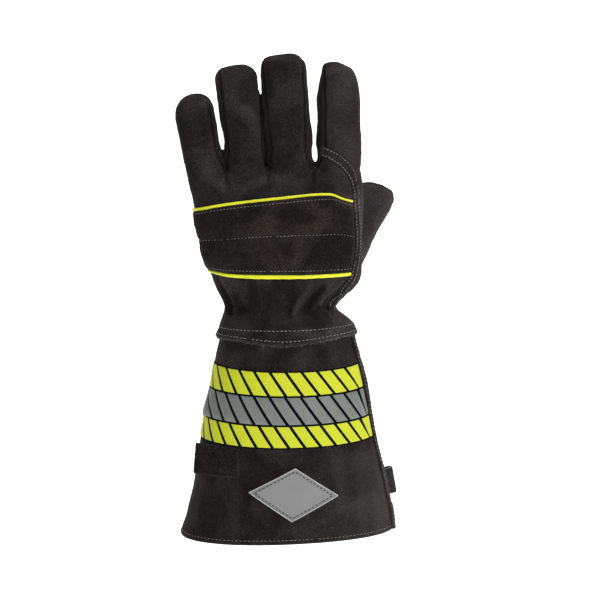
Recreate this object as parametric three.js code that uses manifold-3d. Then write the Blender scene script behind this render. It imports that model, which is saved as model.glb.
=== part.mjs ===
// A left-hand structural firefighting glove, standing on the hem of its long gauntlet cuff.
// Millimetres, +Z up to the fingertips, the back of the hand faces -Y and the thumb is on the +X side.
// Every piece is a sewn or bonded sheet of leather, webbing or tape, hollow where a hand goes in.
import * as THREE from "three";
import { mergeVertices } from "three/addons/utils/BufferGeometryUtils.js";
import Module from "manifold-3d";

const wasm = await Module();
wasm.setup();

// Sheets and clearances
const leather = 2.4; // split leather with its bonded lining
const sewnGap = 0.3; // between two pieces that are sewn together
const overlay = 1.3; // a single leather layer sewn on top

// The gauntlet cuff
const cuffHeight = 158;
const hemWidth = 170;
const hemDepth = 100;
const cuffTopWidth = 101;
const cuffTopDepth = 70;
const cuffTurn = 12; // degrees that the hem's oval is turned, thumb side away
const cuffPower = 2.2; // 2 is an ellipse, more is squarer
const seamAngle = -16.5; // degrees, where the cuff's one seam lies, thumb side
const bindingWidth = 9;
const flareHeight = 12.6; // below this the cuff flares out most

// The hand
const handHem = 150; // height of the hand's raw edge, which laps over the cuff
const wristHeight = 177;
const wristWidth = 86;
const wristDepth = 56;
const wristShift = -5.2;
const knuckleHeight = 262;
const crotchHeight = 284;
const palmWidth = 134;
const palmDepth = 46;
const palmShift = -7.6;
const palmPower = 2.5;
const curl = 11; // how far the fingertips bend towards the palm
const fingerReach = 108; // the height over which they bend, above the knuckles
const gatherDepth = 4.6;
const gatherLow = 16; // the furrows reach this far below the wrist
const gatherHigh = 24; // and this far above it

// The fingers. root is a share of half the palm's width, splay is in degrees from upright.
const fingerPower = 2.4;
const fingerRoot = 24; // how far a finger's tube runs down inside the hand
const fingers = [
  {
    name: "little", root: -0.765, splay: -10.5, skew: 0,
    length: 78.7, width: 31, depth: 25, tip: 15, blunt: 2.4,
  },
  {
    name: "ring", root: -0.328, splay: -5.6, skew: 0,
    length: 99.9, width: 32.9, depth: 26.5, tip: 15, blunt: 2.6,
  },
  {
    name: "middle", root: 0.169, splay: -4, skew: 0.02,
    length: 108.7, width: 35.1, depth: 28, tip: 17, blunt: 2.6,
  },
  {
    name: "index", root: 0.702, splay: 0, skew: -0.05,
    length: 102.4, width: 33.2, depth: 27, tip: 21, blunt: 2.3,
  },
];
const rootTaper = 0.12; // how much thinner its buried end is
const fullAbove = 60; // it has its full width this far above the knuckles
const webRise = 9; // the finger side strips start this far below the crotch line
const sideStrip = 17; // width of those strips at the crotch, front to back
const stripTaper = 0.9; // how much of that width is gone at the fingertips
const stripPower = 2.4; // more keeps the width for longer

// The thumb
const thumbRoot = { x: 28, y: 6, z: 186 };
const thumbLength = 94;
const thumbWidth = 35;
const thumbDepth = 30;

// The padded knuckle guard and its two pipings
const guardFoot = 203; // height of its lower edge
const guardTop = 250; // height of its upper edge at the little finger side
const guardArch = 12.5; // how much higher that edge is at the middle knuckle
const guardDroop = 2.2; // how much lower its lower edge is at the middle
const guardPad = 3.2;
const guardSeam = 0.49; // where its middle seam is, as a share of its height
const guardSwell = 0.7; // less makes its two channels squarer
const guardEnds = { left: 8, right: 6 }; // how fast it swells from each end
const guardFrom = 181; // degrees round the hand, at the little finger's side
const guardTo = 342; // under the seam strip, where it's cut off
const pipingWidth = 2.8;
const pipingHeight = 2.2;
const pipingFlat = 0.08; // the share of its roundness that is buried at each edge

// The seam strip that runs from the index finger down to the wrist
const stripWidth = 6;

// The reflective band: three tapes with slanted grooves
const bandFoot = 73.2; // at the middle of the front
const bandBow = 3; // how much higher the band lies at its two sides
const lowerTape = 16.4;
const silverTape = 21.2;
const upperTape = 18.1;
const tapeGap = 0.7;
const silverFoot = bandFoot + lowerTape + tapeGap;
const upperFoot = silverFoot + silverTape + tapeGap;
const bandTop = upperFoot + upperTape;
const tapeThickness = 0.7;
const tapeGroove = 0.4; // depth of the slanted grooves
const grooveWidth = 1.5;
const groovePitch = 12;
const grooveSlant = 0.64; // sideways for each millimetre down

// Small pieces
const labelWidth = 68;
const labelHeight = 42;
const labelCentre = { x: 4.6, z: 38.6 };
const labelTilt = -3; // degrees
const labelThickness = 0.9;
const hookWidth = 42;
const hookHeight = 23;
const hookCentre = { x: -38.5, z: 62 }; // the middle of its front edge
const hookThickness = 1.6;
const patchClear = 0.5; // under what is sewn or bonded flat on the cuff
const tapeClear = 0.7;
const tapeLift = 1.1; // more clearance where the cuff turns sharply, at its two sides
const loopHeight = 21;
const loopReach = 7;
const loopWidth = 6;
const loopThickness = 1.3;
const loopFoot = 24;
const loopAngle = 2;

// Facets
const palmSides = 36;
const fingerSides = 12;
const fingerRings = 3;
const thumbSides = 14;
const cuffSides = 40;
const guardSteps = 14;
const channelShares = [0, 0.1, 0.3, 0.7, 0.9, 1];
const pipingFacets = 3;
const patchSteps = 6;
const bindingSteps = { across: 3, up: 10 };
const borderSteps = 5; // of the lines that part the back, the palm and the side strips
const girthSteps = 120;
const tipFace = 0.8; // half width of the small flat that closes a fingertip
const tipShares = [0.4, 0.7, 0.9, 1];
const thumbShares = [0, 0.2, 0.42, 0.64, 0.82, 0.91, 0.97, 1];

const radians = THREE.MathUtils.degToRad;
const lerp = THREE.MathUtils.lerp;

// A smooth curve through one column of a table, without overshoot. Each row has its place in `at`.
function column(table, name) {
  const places = table.map((row) => row.at);
  const values = table.map((row) => row[name]);
  const last = table.length - 1;
  const rises = values.slice(1).map((value, i) => (value - values[i]) / (places[i + 1] - places[i]));
  const slopes = values.map((_, i) => {
    if (i === 0) return rises[0];
    if (i === last) return rises[last - 1];
    const [before, after] = [rises[i - 1], rises[i]];
    return before * after > 0 ? (2 * before * after) / (before + after) : 0;
  });
  return (place) => {
    const t = THREE.MathUtils.clamp(place, places[0], places[last]);
    let i = 0;
    while (i < last - 1 && t > places[i + 1]) i += 1;
    const span = places[i + 1] - places[i];
    const s = (t - places[i]) / span;
    const keep = (1 + 2 * s) * (1 - s) ** 2;
    const next = s * s * (3 - 2 * s);
    const leave = s * (1 - s) ** 2 * span;
    const arrive = s * s * (s - 1) * span;
    return values[i] * keep + values[i + 1] * next + slopes[i] * leave + slopes[i + 1] * arrive;
  };
}

// A point of a squared oval, at an angle in degrees.
function oval(angle, halfWidth, front, back, power) {
  const [cos, sin] = [Math.cos(radians(angle)), Math.sin(radians(angle))];
  const x = Math.sign(cos) * Math.abs(cos) ** (2 / power) * halfWidth;
  const y = Math.sign(sin) * Math.abs(sin) ** (2 / power) * (sin < 0 ? front : back);
  return [x, y];
}

// The cuff's outline: flare and deep go from the top's size, 0, to the hem's, 1; aside is how far
// its middle lies towards the thumb, as a share of the hem's width.
const cuffRows = [
  { at: 0, flare: 1, deep: 1, aside: 0.004 },
  { at: 0.1, flare: 0.87, deep: 0.93, aside: 0.012 },
  { at: 0.25, flare: 0.725, deep: 0.83, aside: 0.014 },
  { at: 0.5, flare: 0.49, deep: 0.6, aside: 0.004 },
  { at: 0.75, flare: 0.265, deep: 0.34, aside: 0.004 },
  { at: 0.9, flare: 0.115, deep: 0.15, aside: 0 },
  { at: 1, flare: 0, deep: 0, aside: 0 },
];
const cuffFlare = column(cuffRows, "flare");
const cuffDeep = column(cuffRows, "deep");
const cuffAside = column(cuffRows, "aside");

// A point of the cuff's outer face, moved out by `offset`.
function cuffPoint(angle, height, offset) {
  const at = height / cuffHeight;
  const halfWidth = lerp(cuffTopWidth, hemWidth, cuffFlare(at)) / 2 + offset;
  const halfDepth = lerp(cuffTopDepth, hemDepth, cuffDeep(at)) / 2 + offset;
  const [x, y] = oval(angle, halfWidth, halfDepth, halfDepth, cuffPower);
  const turn = radians(cuffTurn * (1 - at / 2));
  return new THREE.Vector3(
    x * Math.cos(turn) - y * Math.sin(turn) + hemWidth * cuffAside(at),
    x * Math.sin(turn) + y * Math.cos(turn),
    height,
  );
}

// How far the hand's middle surface bends towards the palm at a height.
function lean(height) {
  const above = Math.max(0, height - wristHeight) / (knuckleHeight + fingerReach - wristHeight);
  return curl * above ** 2;
}

// The hand's outline above the wrist. little and thumb say how far each side has opened from the
// wrist's width, 0, to the palm's, 1; front and back are shares of the half depth.
const palmRows = [
  { at: 0, little: 0, thumb: 0, front: 1, back: 1 },
  { at: 0.065, little: 0.11, thumb: 0.3, front: 0.99, back: 1.03 },
  { at: 0.12, little: 0.22, thumb: 0.62, front: 0.98, back: 1.08 },
  { at: 0.18, little: 0.31, thumb: 0.84, front: 0.98, back: 1.13 },
  { at: 0.25, little: 0.42, thumb: 0.935, front: 0.98, back: 1.2 },
  { at: 0.355, little: 0.56, thumb: 0.935, front: 1, back: 1.25 },
  { at: 0.47, little: 0.68, thumb: 0.935, front: 1.01, back: 1.2 },
  { at: 0.59, little: 0.79, thumb: 0.97, front: 1, back: 1.1 },
  { at: 0.7, little: 0.865, thumb: 0.97, front: 0.96, back: 1 },
  { at: 0.8, little: 0.925, thumb: 0.96, front: 0.87, back: 0.9 },
  { at: 0.88, little: 1, thumb: 0.95, front: 0.72, back: 0.76 },
  { at: 0.95, little: 0.97, thumb: 0.92, front: 0.53, back: 0.57 },
  { at: 1, little: 0.83, thumb: 0.82, front: 0.32, back: 0.34 },
];
const littleOpen = column(palmRows, "little");
const thumbOpen = column(palmRows, "thumb");
const palmFront = column(palmRows, "front");
const palmBack = column(palmRows, "back");

// The gathers that the wrist elastic pulls in: each is a furrow at an angle, which drifts as it rises.
const gathers = [
  { angle: 207, depth: 0.8, spread: 9, drift: -4 },
  { angle: 229, depth: 1, spread: 8, drift: -6 },
  { angle: 250, depth: 0.7, spread: 8, drift: -3 },
  { angle: 271, depth: 0.45, spread: 7, drift: 2 },
  { angle: 291, depth: 0.85, spread: 8, drift: 9 },
  { angle: 311, depth: 1, spread: 8, drift: 13 },
  { angle: 333, depth: 0.75, spread: 8, drift: 8 },
  { angle: 22, depth: 0.7, spread: 9, drift: 3 },
  { angle: 47, depth: 0.9, spread: 9, drift: 6 },
  { angle: 72, depth: 0.7, spread: 8, drift: 2 },
  { angle: 96, depth: 0.9, spread: 9, drift: -2 },
  { angle: 121, depth: 0.7, spread: 8, drift: -5 },
  { angle: 148, depth: 0.9, spread: 9, drift: -6 },
];

function gatherAt(angle, height) {
  const away = height - wristHeight;
  const fade = Math.max(0, 1 - (away / (away < 0 ? gatherLow : gatherHigh)) ** 2);
  let furrow = 0;
  for (const row of gathers) {
    const centre = row.angle + (row.drift * away) / gatherHigh;
    const turn = ((angle - centre + 540) % 360) - 180;
    furrow += row.depth * Math.exp(-((turn / row.spread) ** 2));
  }
  return gatherDepth * furrow * fade;
}

const upHand = (height) => (height - wristHeight) / (crotchHeight - wristHeight);
const littleEdge = (height) =>
  lerp(wristShift - wristWidth / 2, palmShift - palmWidth / 2, littleOpen(upHand(height)));
const thumbEdge = (height) =>
  lerp(wristShift + wristWidth / 2, palmShift + palmWidth / 2, thumbOpen(upHand(height)));

// A point of the hand's outer face, moved out by `offset`. The hem follows the cuff that it laps over.
function handPoint(angle, height, offset) {
  const at = upHand(height);
  const halfDepth = lerp(wristDepth, palmDepth, littleOpen(at)) / 2;
  const halfWidth = (thumbEdge(height) - littleEdge(height)) / 2;
  const centre = (thumbEdge(height) + littleEdge(height)) / 2;
  const grown = offset - gatherAt(angle, height);
  const front = halfDepth * palmFront(at) + grown;
  const back = halfDepth * palmBack(at) + grown;
  const [x, y] = oval(angle, halfWidth + grown, front, back, palmPower);
  const hand = new THREE.Vector3(x + centre, y + lean(height), height);
  const lapped = cuffPoint(angle, Math.min(height, cuffHeight), leather + sewnGap + offset);
  lapped.z = height;
  return lapped.lerp(hand, THREE.MathUtils.smoothstep(height, cuffHeight + sewnGap, wristHeight));
}

// Closed skin over rings of points, each ring anticlockwise seen from the last one's side.
function skin(rings) {
  const sides = rings[0].length;
  const positions = rings.flat().flatMap((p) => [p.x, p.y, p.z]);
  const faces = [];
  for (let r = 0; r < rings.length - 1; r += 1) {
    for (let k = 0; k < sides; k += 1) {
      const [a, b] = [r * sides + k, r * sides + ((k + 1) % sides)];
      faces.push(a, b, b + sides, a, b + sides, a + sides);
    }
  }
  for (const [r, turned] of [[0, true], [rings.length - 1, false]]) {
    const middle = positions.length / 3;
    const sum = rings[r].reduce((total, p) => total.add(p), new THREE.Vector3());
    positions.push(sum.x / sides, sum.y / sides, sum.z / sides);
    for (let k = 0; k < sides; k += 1) {
      const [a, b] = [r * sides + k, r * sides + ((k + 1) % sides)];
      faces.push(middle, ...(turned ? [b, a] : [a, b]));
    }
  }
  return geometryOf(positions, faces);
}

function geometryOf(positions, faces) {
  const geometry = new THREE.BufferGeometry();
  geometry.setAttribute("position", new THREE.BufferAttribute(new Float32Array(positions), 3));
  geometry.setIndex(faces);
  return geometry;
}

// Closed sheet between two faces, each a function of a place across and a place up, both 0 to 1.
function sheet(inner, outer, across, up) {
  const [columns, rows] = [across.length, up.length];
  const positions = [];
  for (const face of [outer, inner]) {
    for (const v of up) for (const u of across) positions.push(...face(u, v).toArray());
  }
  const faces = [];
  const back = columns * rows;
  const quad = (a, b, c, d) => faces.push(a, b, c, a, c, d);
  for (let j = 0; j < rows - 1; j += 1) {
    for (let i = 0; i < columns - 1; i += 1) {
      const a = j * columns + i;
      quad(a, a + 1, a + 1 + columns, a + columns);
      quad(back + a, back + a + columns, back + a + 1 + columns, back + a + 1);
    }
  }
  for (let i = 0; i < columns - 1; i += 1) {
    const top = (rows - 1) * columns + i;
    quad(i, back + i, back + i + 1, i + 1);
    quad(top, top + 1, back + top + 1, back + top);
  }
  for (let j = 0; j < rows - 1; j += 1) {
    const left = j * columns;
    const right = left + columns - 1;
    quad(left, left + columns, back + left + columns, back + left);
    quad(right, back + right, back + right + columns, right + columns);
  }
  return geometryOf(positions, faces);
}

const steps = (count) => Array.from({ length: count + 1 }, (_, i) => i / count);

// Solids for cutting and joining
function solidOf(geometry) {
  const bare = geometry.clone();
  bare.deleteAttribute("normal");
  bare.deleteAttribute("uv");
  const merged = mergeVertices(bare, 1e-4);
  const vertProperties = new Float32Array(merged.attributes.position.array);
  const triVerts = new Uint32Array(merged.index.array);
  return new wasm.Manifold(new wasm.Mesh({ numProp: 3, vertProperties, triVerts }));
}

function geometryFrom(solid) {
  const { vertProperties, triVerts } = solid.getMesh();
  return geometryOf(Array.from(vertProperties), Array.from(triVerts));
}

function joined(solids) {
  return solids.reduce((total, next) => total.add(next));
}

// A prism over an outline in x and z, from one y to another.
function prismAlongY(outline, from, to) {
  const shape = new THREE.Shape(outline.map(([x, z]) => new THREE.Vector2(x, z)));
  const prism = new THREE.ExtrudeGeometry(shape, { depth: to - from, bevelEnabled: false });
  return solidOf(prism.rotateX(Math.PI / 2).translate(0, to, 0));
}

// A prism over an outline in y and z, from one x to another.
function prismAlongX(outline, from, to) {
  const shape = new THREE.Shape(outline.map(([y, z]) => new THREE.Vector2(y, z)));
  const prism = new THREE.ExtrudeGeometry(shape, { depth: to - from, bevelEnabled: false });
  const axes = new THREE.Matrix4().makeBasis(
    new THREE.Vector3(0, 1, 0),
    new THREE.Vector3(0, 0, 1),
    new THREE.Vector3(1, 0, 0),
  );
  return solidOf(prism.applyMatrix4(axes).translate(from, 0, 0));
}

const reach = palmWidth; // further than any part of the hand from its middle

// The palm and wrist as one solid, its faces moved out by `offset`. An inner one opens past the hem.
function palmSolid(offset) {
  const top = crotchHeight + offset;
  const marks = [
    [handHem, cuffHeight, 1],
    [cuffHeight, wristHeight, 3],
    [wristHeight, guardFoot, 3],
    [guardFoot, knuckleHeight, 2],
    [knuckleHeight, top, 3],
  ];
  const heights = [offset < 0 ? handHem - leather : handHem];
  for (const [low, high, count] of marks) {
    for (let i = 1; i <= count; i += 1) heights.push(low + ((high - low) * i) / count);
  }
  const angles = steps(palmSides).slice(0, -1).map((share) => share * 360);
  const level = (height) => Math.min(height, crotchHeight);
  return solidOf(
    skin(
      heights.map((height) =>
        angles.map((angle) => {
          const point = handPoint(angle, level(height), offset);
          point.z = height;
          return point;
        }),
      ),
    ),
  );
}

// Where a finger's middle line is at a height
const rootOf = (finger) => palmShift + (finger.root * palmWidth) / 2;
const axisAt = (finger, height) =>
  rootOf(finger) + (height - knuckleHeight) * Math.tan(radians(finger.splay));
const tipOf = (finger) => knuckleHeight + finger.length * Math.cos(radians(finger.splay));

function fingerSolid(finger, offset) {
  const along = new THREE.Vector3(Math.sin(radians(finger.splay)), 0, Math.cos(radians(finger.splay)));
  const across = new THREE.Vector3(along.z, 0, -along.x);
  const straight = finger.length - finger.tip;
  const stations = steps(fingerRings).map((share) => -fingerRoot + share * (straight + fingerRoot));
  const angles = steps(fingerSides).slice(0, -1).map((share) => share * 360);
  const ring = (distance, wide, deep, skew) => {
    const place = along.clone().multiplyScalar(distance);
    const centre = new THREE.Vector3(rootOf(finger), 0, knuckleHeight).add(place);
    centre.addScaledVector(across, skew * finger.width);
    centre.y = lean(centre.z);
    const halfWidth = Math.max(tipFace, (finger.width / 2) * wide + offset);
    const halfDepth = Math.max(tipFace, (finger.depth / 2) * deep + offset);
    return angles.map((angle) => {
      const [x, y] = oval(angle, halfWidth, halfDepth, halfDepth, fingerPower);
      return centre.clone().addScaledVector(across, x).add(new THREE.Vector3(0, y, 0));
    });
  };
  const rings = stations.map((distance) => {
    const rooted = 1 - rootTaper * (1 - THREE.MathUtils.smoothstep(distance, -fingerRoot, fullAbove));
    return ring(distance, rooted, rooted, 0);
  });
  for (const share of tipShares) {
    const round = (power) => (1 - share ** power) ** (1 / power);
    const distance = straight + (finger.tip + offset) * share;
    rings.push(ring(distance, round(finger.blunt), round(2), finger.skew * share));
  }
  return solidOf(skin(rings));
}

// The whole hand without its thumb, its faces moved out by `offset`
const handSolid = (offset) => joined([palmSolid(offset), ...fingers.map((f) => fingerSolid(f, offset))]);

// The thumb's middle line and sections, in shares of its length, width and depth
const thumbRows = [
  { at: 0, across: 0, up: 0, behind: 0, turn: 27, wide: 0.7, deep: 0.6 },
  { at: 0.18, across: 0.085, up: 0.165, behind: 0.09, turn: 27, wide: 0.98, deep: 0.9 },
  { at: 0.4, across: 0.19, up: 0.365, behind: 0.19, turn: 27, wide: 1.03, deep: 1.03 },
  { at: 0.62, across: 0.285, up: 0.56, behind: 0.26, turn: 25, wide: 1, deep: 1 },
  { at: 0.8, across: 0.378, up: 0.715, behind: 0.305, turn: 20, wide: 1.01, deep: 0.95 },
  { at: 0.9, across: 0.422, up: 0.8, behind: 0.325, turn: 14, wide: 0.98, deep: 0.84 },
  { at: 0.96, across: 0.438, up: 0.853, behind: 0.332, turn: 11, wide: 0.82, deep: 0.64 },
  { at: 1, across: 0.446, up: 0.884, behind: 0.336, turn: 10, wide: 0.42, deep: 0.3 },
];

function thumbSolid(offset) {
  const share = (name) => column(thumbRows, name);
  const [right, up, behind] = [share("across"), share("up"), share("behind")];
  const [turn, wide, deep] = [share("turn"), share("wide"), share("deep")];
  const angles = steps(thumbSides).slice(0, -1).map((part) => part * 360);
  const length = thumbLength + offset;
  const rings = thumbShares.map((at) => {
    const centre = new THREE.Vector3(
      thumbRoot.x + length * right(at),
      thumbRoot.y + thumbLength * behind(at),
      thumbRoot.z + length * up(at),
    );
    const slope = radians(turn(at));
    const across = new THREE.Vector3(Math.cos(slope), 0, -Math.sin(slope));
    const halfWidth = Math.max(tipFace, (thumbWidth / 2) * wide(at) + offset);
    const halfDepth = Math.max(tipFace, (thumbDepth / 2) * deep(at) + offset);
    return angles.map((angle) => {
      const [x, y] = oval(angle, halfWidth, halfDepth, halfDepth, fingerPower);
      return centre.clone().addScaledVector(across, x).add(new THREE.Vector3(0, y, 0));
    });
  });
  return solidOf(skin(rings));
}

// The half of space on the back of the hand, its border moved towards the palm by `slack`
function backSide(slack) {
  const levels = [0, ...steps(borderSteps).map((share) => lerp(wristHeight, 2 * crotchHeight, share))];
  const border = levels.map((height) => [lean(height) + slack, height]);
  return prismAlongX([[-reach, 2 * crotchHeight], [-reach, 0], ...border], -reach, reach);
}

// The strip of leather down one finger's side, over the web and up the next finger's side
function sideRegion(finger, next, slack) {
  const low = crotchHeight - webRise - slack;
  const between = (height) => (axisAt(finger, height) + axisAt(next, height)) / 2;
  const halves = [finger, next].map((one) => {
    const top = tipOf(one) - leather;
    const overlap = one === finger ? leather : -leather;
    const high = top + leather;
    const outline = [
      [axisAt(one, low), low],
      [between(low) + overlap, low],
      [between(high) + overlap, high],
      [axisAt(one, high), high],
    ];
    if (one === next) outline.reverse();
    const heights = steps(borderSteps).map((share) => low + share * (top + slack - low));
    const half = (height) => {
      const share = (height - low) / (top + slack - low);
      return (sideStrip / 2) * (1 - stripTaper * share ** stripPower) + slack;
    };
    const front = heights.map((height) => [lean(height) - half(height), height]);
    const back = heights.map((height) => [lean(height) + half(height), height]).reverse();
    const region = prismAlongX([...back, ...front], -reach, reach);
    return prismAlongY(outline, -reach, reach).intersect(region);
  });
  return joined(halves);
}

// The seam from the index finger down to the wrist, in shares of half the palm's width and of the
// height from the wrist to the crotches. The strip covers it as far as the row named by stripEnd.
const seamRows = [
  { across: 0.51, up: 1.115 },
  { across: 0.6, up: 1.095 },
  { across: 0.705, up: 1.055 },
  { across: 0.815, up: 0.99 },
  { across: 0.885, up: 0.89 },
  { across: 0.912, up: 0.7 },
  { across: 0.93, up: 0.51 },
  { across: 0.913, up: 0.35 },
  { across: 0.875, up: 0.235 },
  { across: 0.81, up: 0.155 },
  { across: 0.66, up: 0.04 },
  { across: 0.62, up: -0.02 },
  { across: 0.69, up: -0.13 },
  { across: 0.8, up: -0.27 },
];
const stripEnd = 12;
const seamLine = seamRows.map(({ across, up }) => [
  palmShift + (across * palmWidth) / 2,
  wristHeight + up * (crotchHeight - wristHeight),
]);

// A line that runs downwards, moved towards the little finger
function beside(line, distance) {
  return line.map(([x, z], i) => {
    const [before, after] = [line[Math.max(0, i - 1)], line[Math.min(line.length - 1, i + 1)]];
    const [dx, dz] = [after[0] - before[0], after[1] - before[1]];
    const size = Math.hypot(dx, dz);
    return [x + (dz / size) * distance, z - (dx / size) * distance];
  });
}

// The part of the back that the index finger's own leather covers
function indexRegion(slack) {
  const edge = beside(seamLine, slack);
  const first = edge[0];
  const last = edge[edge.length - 1];
  const index = fingers[fingers.length - 1];
  const inner = axisAt(index, crotchHeight) - (0.5 + rootTaper) * index.width;
  const outline = [
    ...edge,
    [last[0], 0],
    [reach, 0],
    [reach, tipOf(index) + index.width],
    [inner, tipOf(index) + index.width],
    [inner, first[1]],
  ];
  return prismAlongY(outline.reverse(), -reach, reach);
}

// Materials
const suede = new THREE.MeshStandardMaterial({ color: 0x2b2725, roughness: 0.95, metalness: 0 });
const darkSuede = new THREE.MeshStandardMaterial({ color: 0x211d1c, roughness: 0.95, metalness: 0 });
const brightPiping = new THREE.MeshStandardMaterial({ color: 0xe6ee22, roughness: 0.55, metalness: 0 });
const yellowTape = new THREE.MeshStandardMaterial({ color: 0xd6e62b, roughness: 0.5, metalness: 0 });
const silver = new THREE.MeshStandardMaterial({ color: 0x88918a, roughness: 0.4, metalness: 0.3 });
const greyCloth = new THREE.MeshStandardMaterial({ color: 0xa3a3a3, roughness: 0.8, metalness: 0 });
const hookTape = new THREE.MeshStandardMaterial({ color: 0x1d1b1b, roughness: 1, metalness: 0 });
const webbing = new THREE.MeshStandardMaterial({ color: 0x232121, roughness: 0.85, metalness: 0 });

// The body of a cut solid, without the slivers that a cut can leave
function mainBody(solid) {
  return solid.decompose().reduce((most, body) => (body.volume() > most.volume() ? body : most));
}

const glove = new THREE.Group();
function place(name, shape, material) {
  const geometry = shape.isBufferGeometry ? shape : geometryFrom(mainBody(shape));
  const flat = geometry.index ? geometry.toNonIndexed() : geometry;
  flat.computeVertexNormals();
  const mesh = new THREE.Mesh(flat, material);
  mesh.name = name;
  glove.add(mesh);
}

// The hand's leather, cut along its seams
function addHand() {
  const outer = handSolid(0);
  const thumbHollow = thumbSolid(-leather);
  const shell = outer.subtract(handSolid(-leather)).subtract(thumbHollow);
  const strips = fingers.slice(0, -1).map((finger, i) => [finger, fingers[i + 1]]);
  let rest = shell;
  for (const [finger, next] of strips) {
    const name = `side_strip_${finger.name}_${next.name}`;
    place(name, shell.intersect(sideRegion(finger, next, -sewnGap / 2)), darkSuede);
    rest = rest.subtract(sideRegion(finger, next, sewnGap / 2));
  }
  const back = rest.intersect(backSide(-sewnGap / 2));
  place("hand_palm", rest.subtract(backSide(sewnGap / 2)), suede);
  place("hand_back", back.subtract(indexRegion(sewnGap / 2)), suede);
  place("index_cover", back.intersect(indexRegion(-sewnGap / 2)), suede);
  const thumbShell = thumbSolid(0).subtract(thumbHollow);
  place("thumb", thumbShell.subtract(handSolid(sewnGap)), suede);
}

function addSeamStrip() {
  const line = seamLine.slice(0, stripEnd);
  const ribbon = [...beside(line, -stripWidth / 2), ...beside(line, stripWidth / 2).reverse()];
  const skinLayer = handSolid(sewnGap + overlay).subtract(handSolid(sewnGap));
  place("seam_strip", skinLayer.intersect(prismAlongY(ribbon, -reach, -sewnGap)), suede);
}

// The guard's edges: `at` runs from the little finger's side, 0, to the seam strip, 1
const guardRows = [
  { at: 0, rise: -0.02, sag: 0 },
  { at: 0.14, rise: 0.04, sag: 0.2 },
  { at: 0.37, rise: 0.385, sag: 0.9 },
  { at: 0.53, rise: 0.66, sag: 1 },
  { at: 0.63, rise: 0.89, sag: 1 },
  { at: 0.73, rise: 1, sag: 0.8 },
  { at: 0.77, rise: 1, sag: 0.75 },
  { at: 0.85, rise: 0.72, sag: 0.55 },
  { at: 1, rise: 0.45, sag: 0.2 },
];
const guardRise = column(guardRows, "rise");
const guardSag = column(guardRows, "sag");
const guardHigh = (across) => guardTop + guardArch * guardRise(across);
const guardLow = (across) => guardFoot + guardDroop * (1 - guardSag(across));

// Places on the back of the hand between the guard's two ends
const onHand = (across, height, offset) =>
  handPoint(lerp(guardFrom, guardTo, across), height, offset);

// What is sewn on there rests on the hand's leather and stops short of the seam strip.
const fitted = (solid) =>
  solid.subtract(handSolid(sewnGap)).subtract(indexRegion(stripWidth / 2 + sewnGap));

function addGuard() {
  const rows = (from, to) => channelShares.map((share) => lerp(from, to, share));
  const up = [...rows(0, guardSeam), ...rows(guardSeam, 1).slice(1)];
  const heightAt = (u, v) => lerp(guardLow(u), guardHigh(u), v);
  const channel = (v) => (v < guardSeam ? v / guardSeam : (v - guardSeam) / (1 - guardSeam));
  const ends = (u) => Math.min(1, u * guardEnds.left, (1 - u) * guardEnds.right);
  const swell = (u, v) => Math.sin(Math.PI * channel(v)) ** guardSwell * ends(u);
  const inner = (u, v) => onHand(u, heightAt(u, v), -overlay);
  const outer = (u, v) => onHand(u, heightAt(u, v), sewnGap + overlay + guardPad * swell(u, v));
  const pad = solidOf(sheet(inner, outer, steps(guardSteps), up));
  place("knuckle_guard", fitted(pad), darkSuede);
}

function addPiping(name, edge, side) {
  const start = side * sewnGap;
  const heightAt = (u, v) => edge(u) + start + (side > 0 ? v : v - 1) * pipingWidth;
  const round = (v) => Math.sqrt(Math.sin(Math.PI * lerp(pipingFlat, 1 - pipingFlat, v)));
  const inner = (u, v) => onHand(u, heightAt(u, v), -overlay);
  const outer = (u, v) => onHand(u, heightAt(u, v), sewnGap + pipingHeight * round(v));
  const cord = solidOf(sheet(inner, outer, steps(guardSteps), steps(pipingFacets)));
  place(name, fitted(cord), brightPiping);
}

// A level of the band, which bows with it and straightens towards the hem and the cuff's top
function bowed(height, angle) {
  const below = height / bandFoot;
  const above = (cuffHeight - height) / (cuffHeight - bandTop);
  return height + bandBow * Math.cos(radians(angle)) ** 2 * Math.min(1, below, above);
}

// The angle a distance further round the cuff
function roundCuff(angle, height, distance) {
  const speed = cuffPoint(angle + 1, height, 0).distanceTo(cuffPoint(angle, height, 0));
  return angle + distance / speed;
}

// The angle on the cuff's front at which x has a given value
function cuffAngleAt(x, height) {
  let [low, high] = [cuffTurn + 180, 360];
  for (let i = 0; i < 30; i += 1) {
    const middle = (low + high) / 2;
    if (cuffPoint(middle, height, 0).x < x) low = middle;
    else high = middle;
  }
  return (low + high) / 2;
}

function addCuff() {
  const joints = [silverFoot, upperFoot].map((height) => height - tapeGap / 2);
  const heights = [0, flareHeight, bandFoot / 2, bandFoot, ...joints, bandTop, cuffHeight];
  const slit = (height) => roundCuff(seamAngle, height, sewnGap / 2) - seamAngle;
  const face = (offset) => (u, height) => {
    const angle = seamAngle + slit(height) + u * (360 - 2 * slit(height));
    return cuffPoint(angle, bowed(height, angle), offset);
  };
  place("cuff", sheet(face(-leather), face(0), steps(cuffSides), heights), suede);

  const bindingFace = (offset) => (u, v) => {
    const height = lerp(sewnGap, handHem - sewnGap, v);
    return cuffPoint(roundCuff(seamAngle, height, (u - 0.5) * bindingWidth), height, offset);
  };
  const [under, over] = [bindingFace(sewnGap), bindingFace(sewnGap + overlay)];
  const { across, up } = bindingSteps;
  place("cuff_binding", sheet(under, over, steps(across), steps(up)), darkSuede);
}

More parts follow.
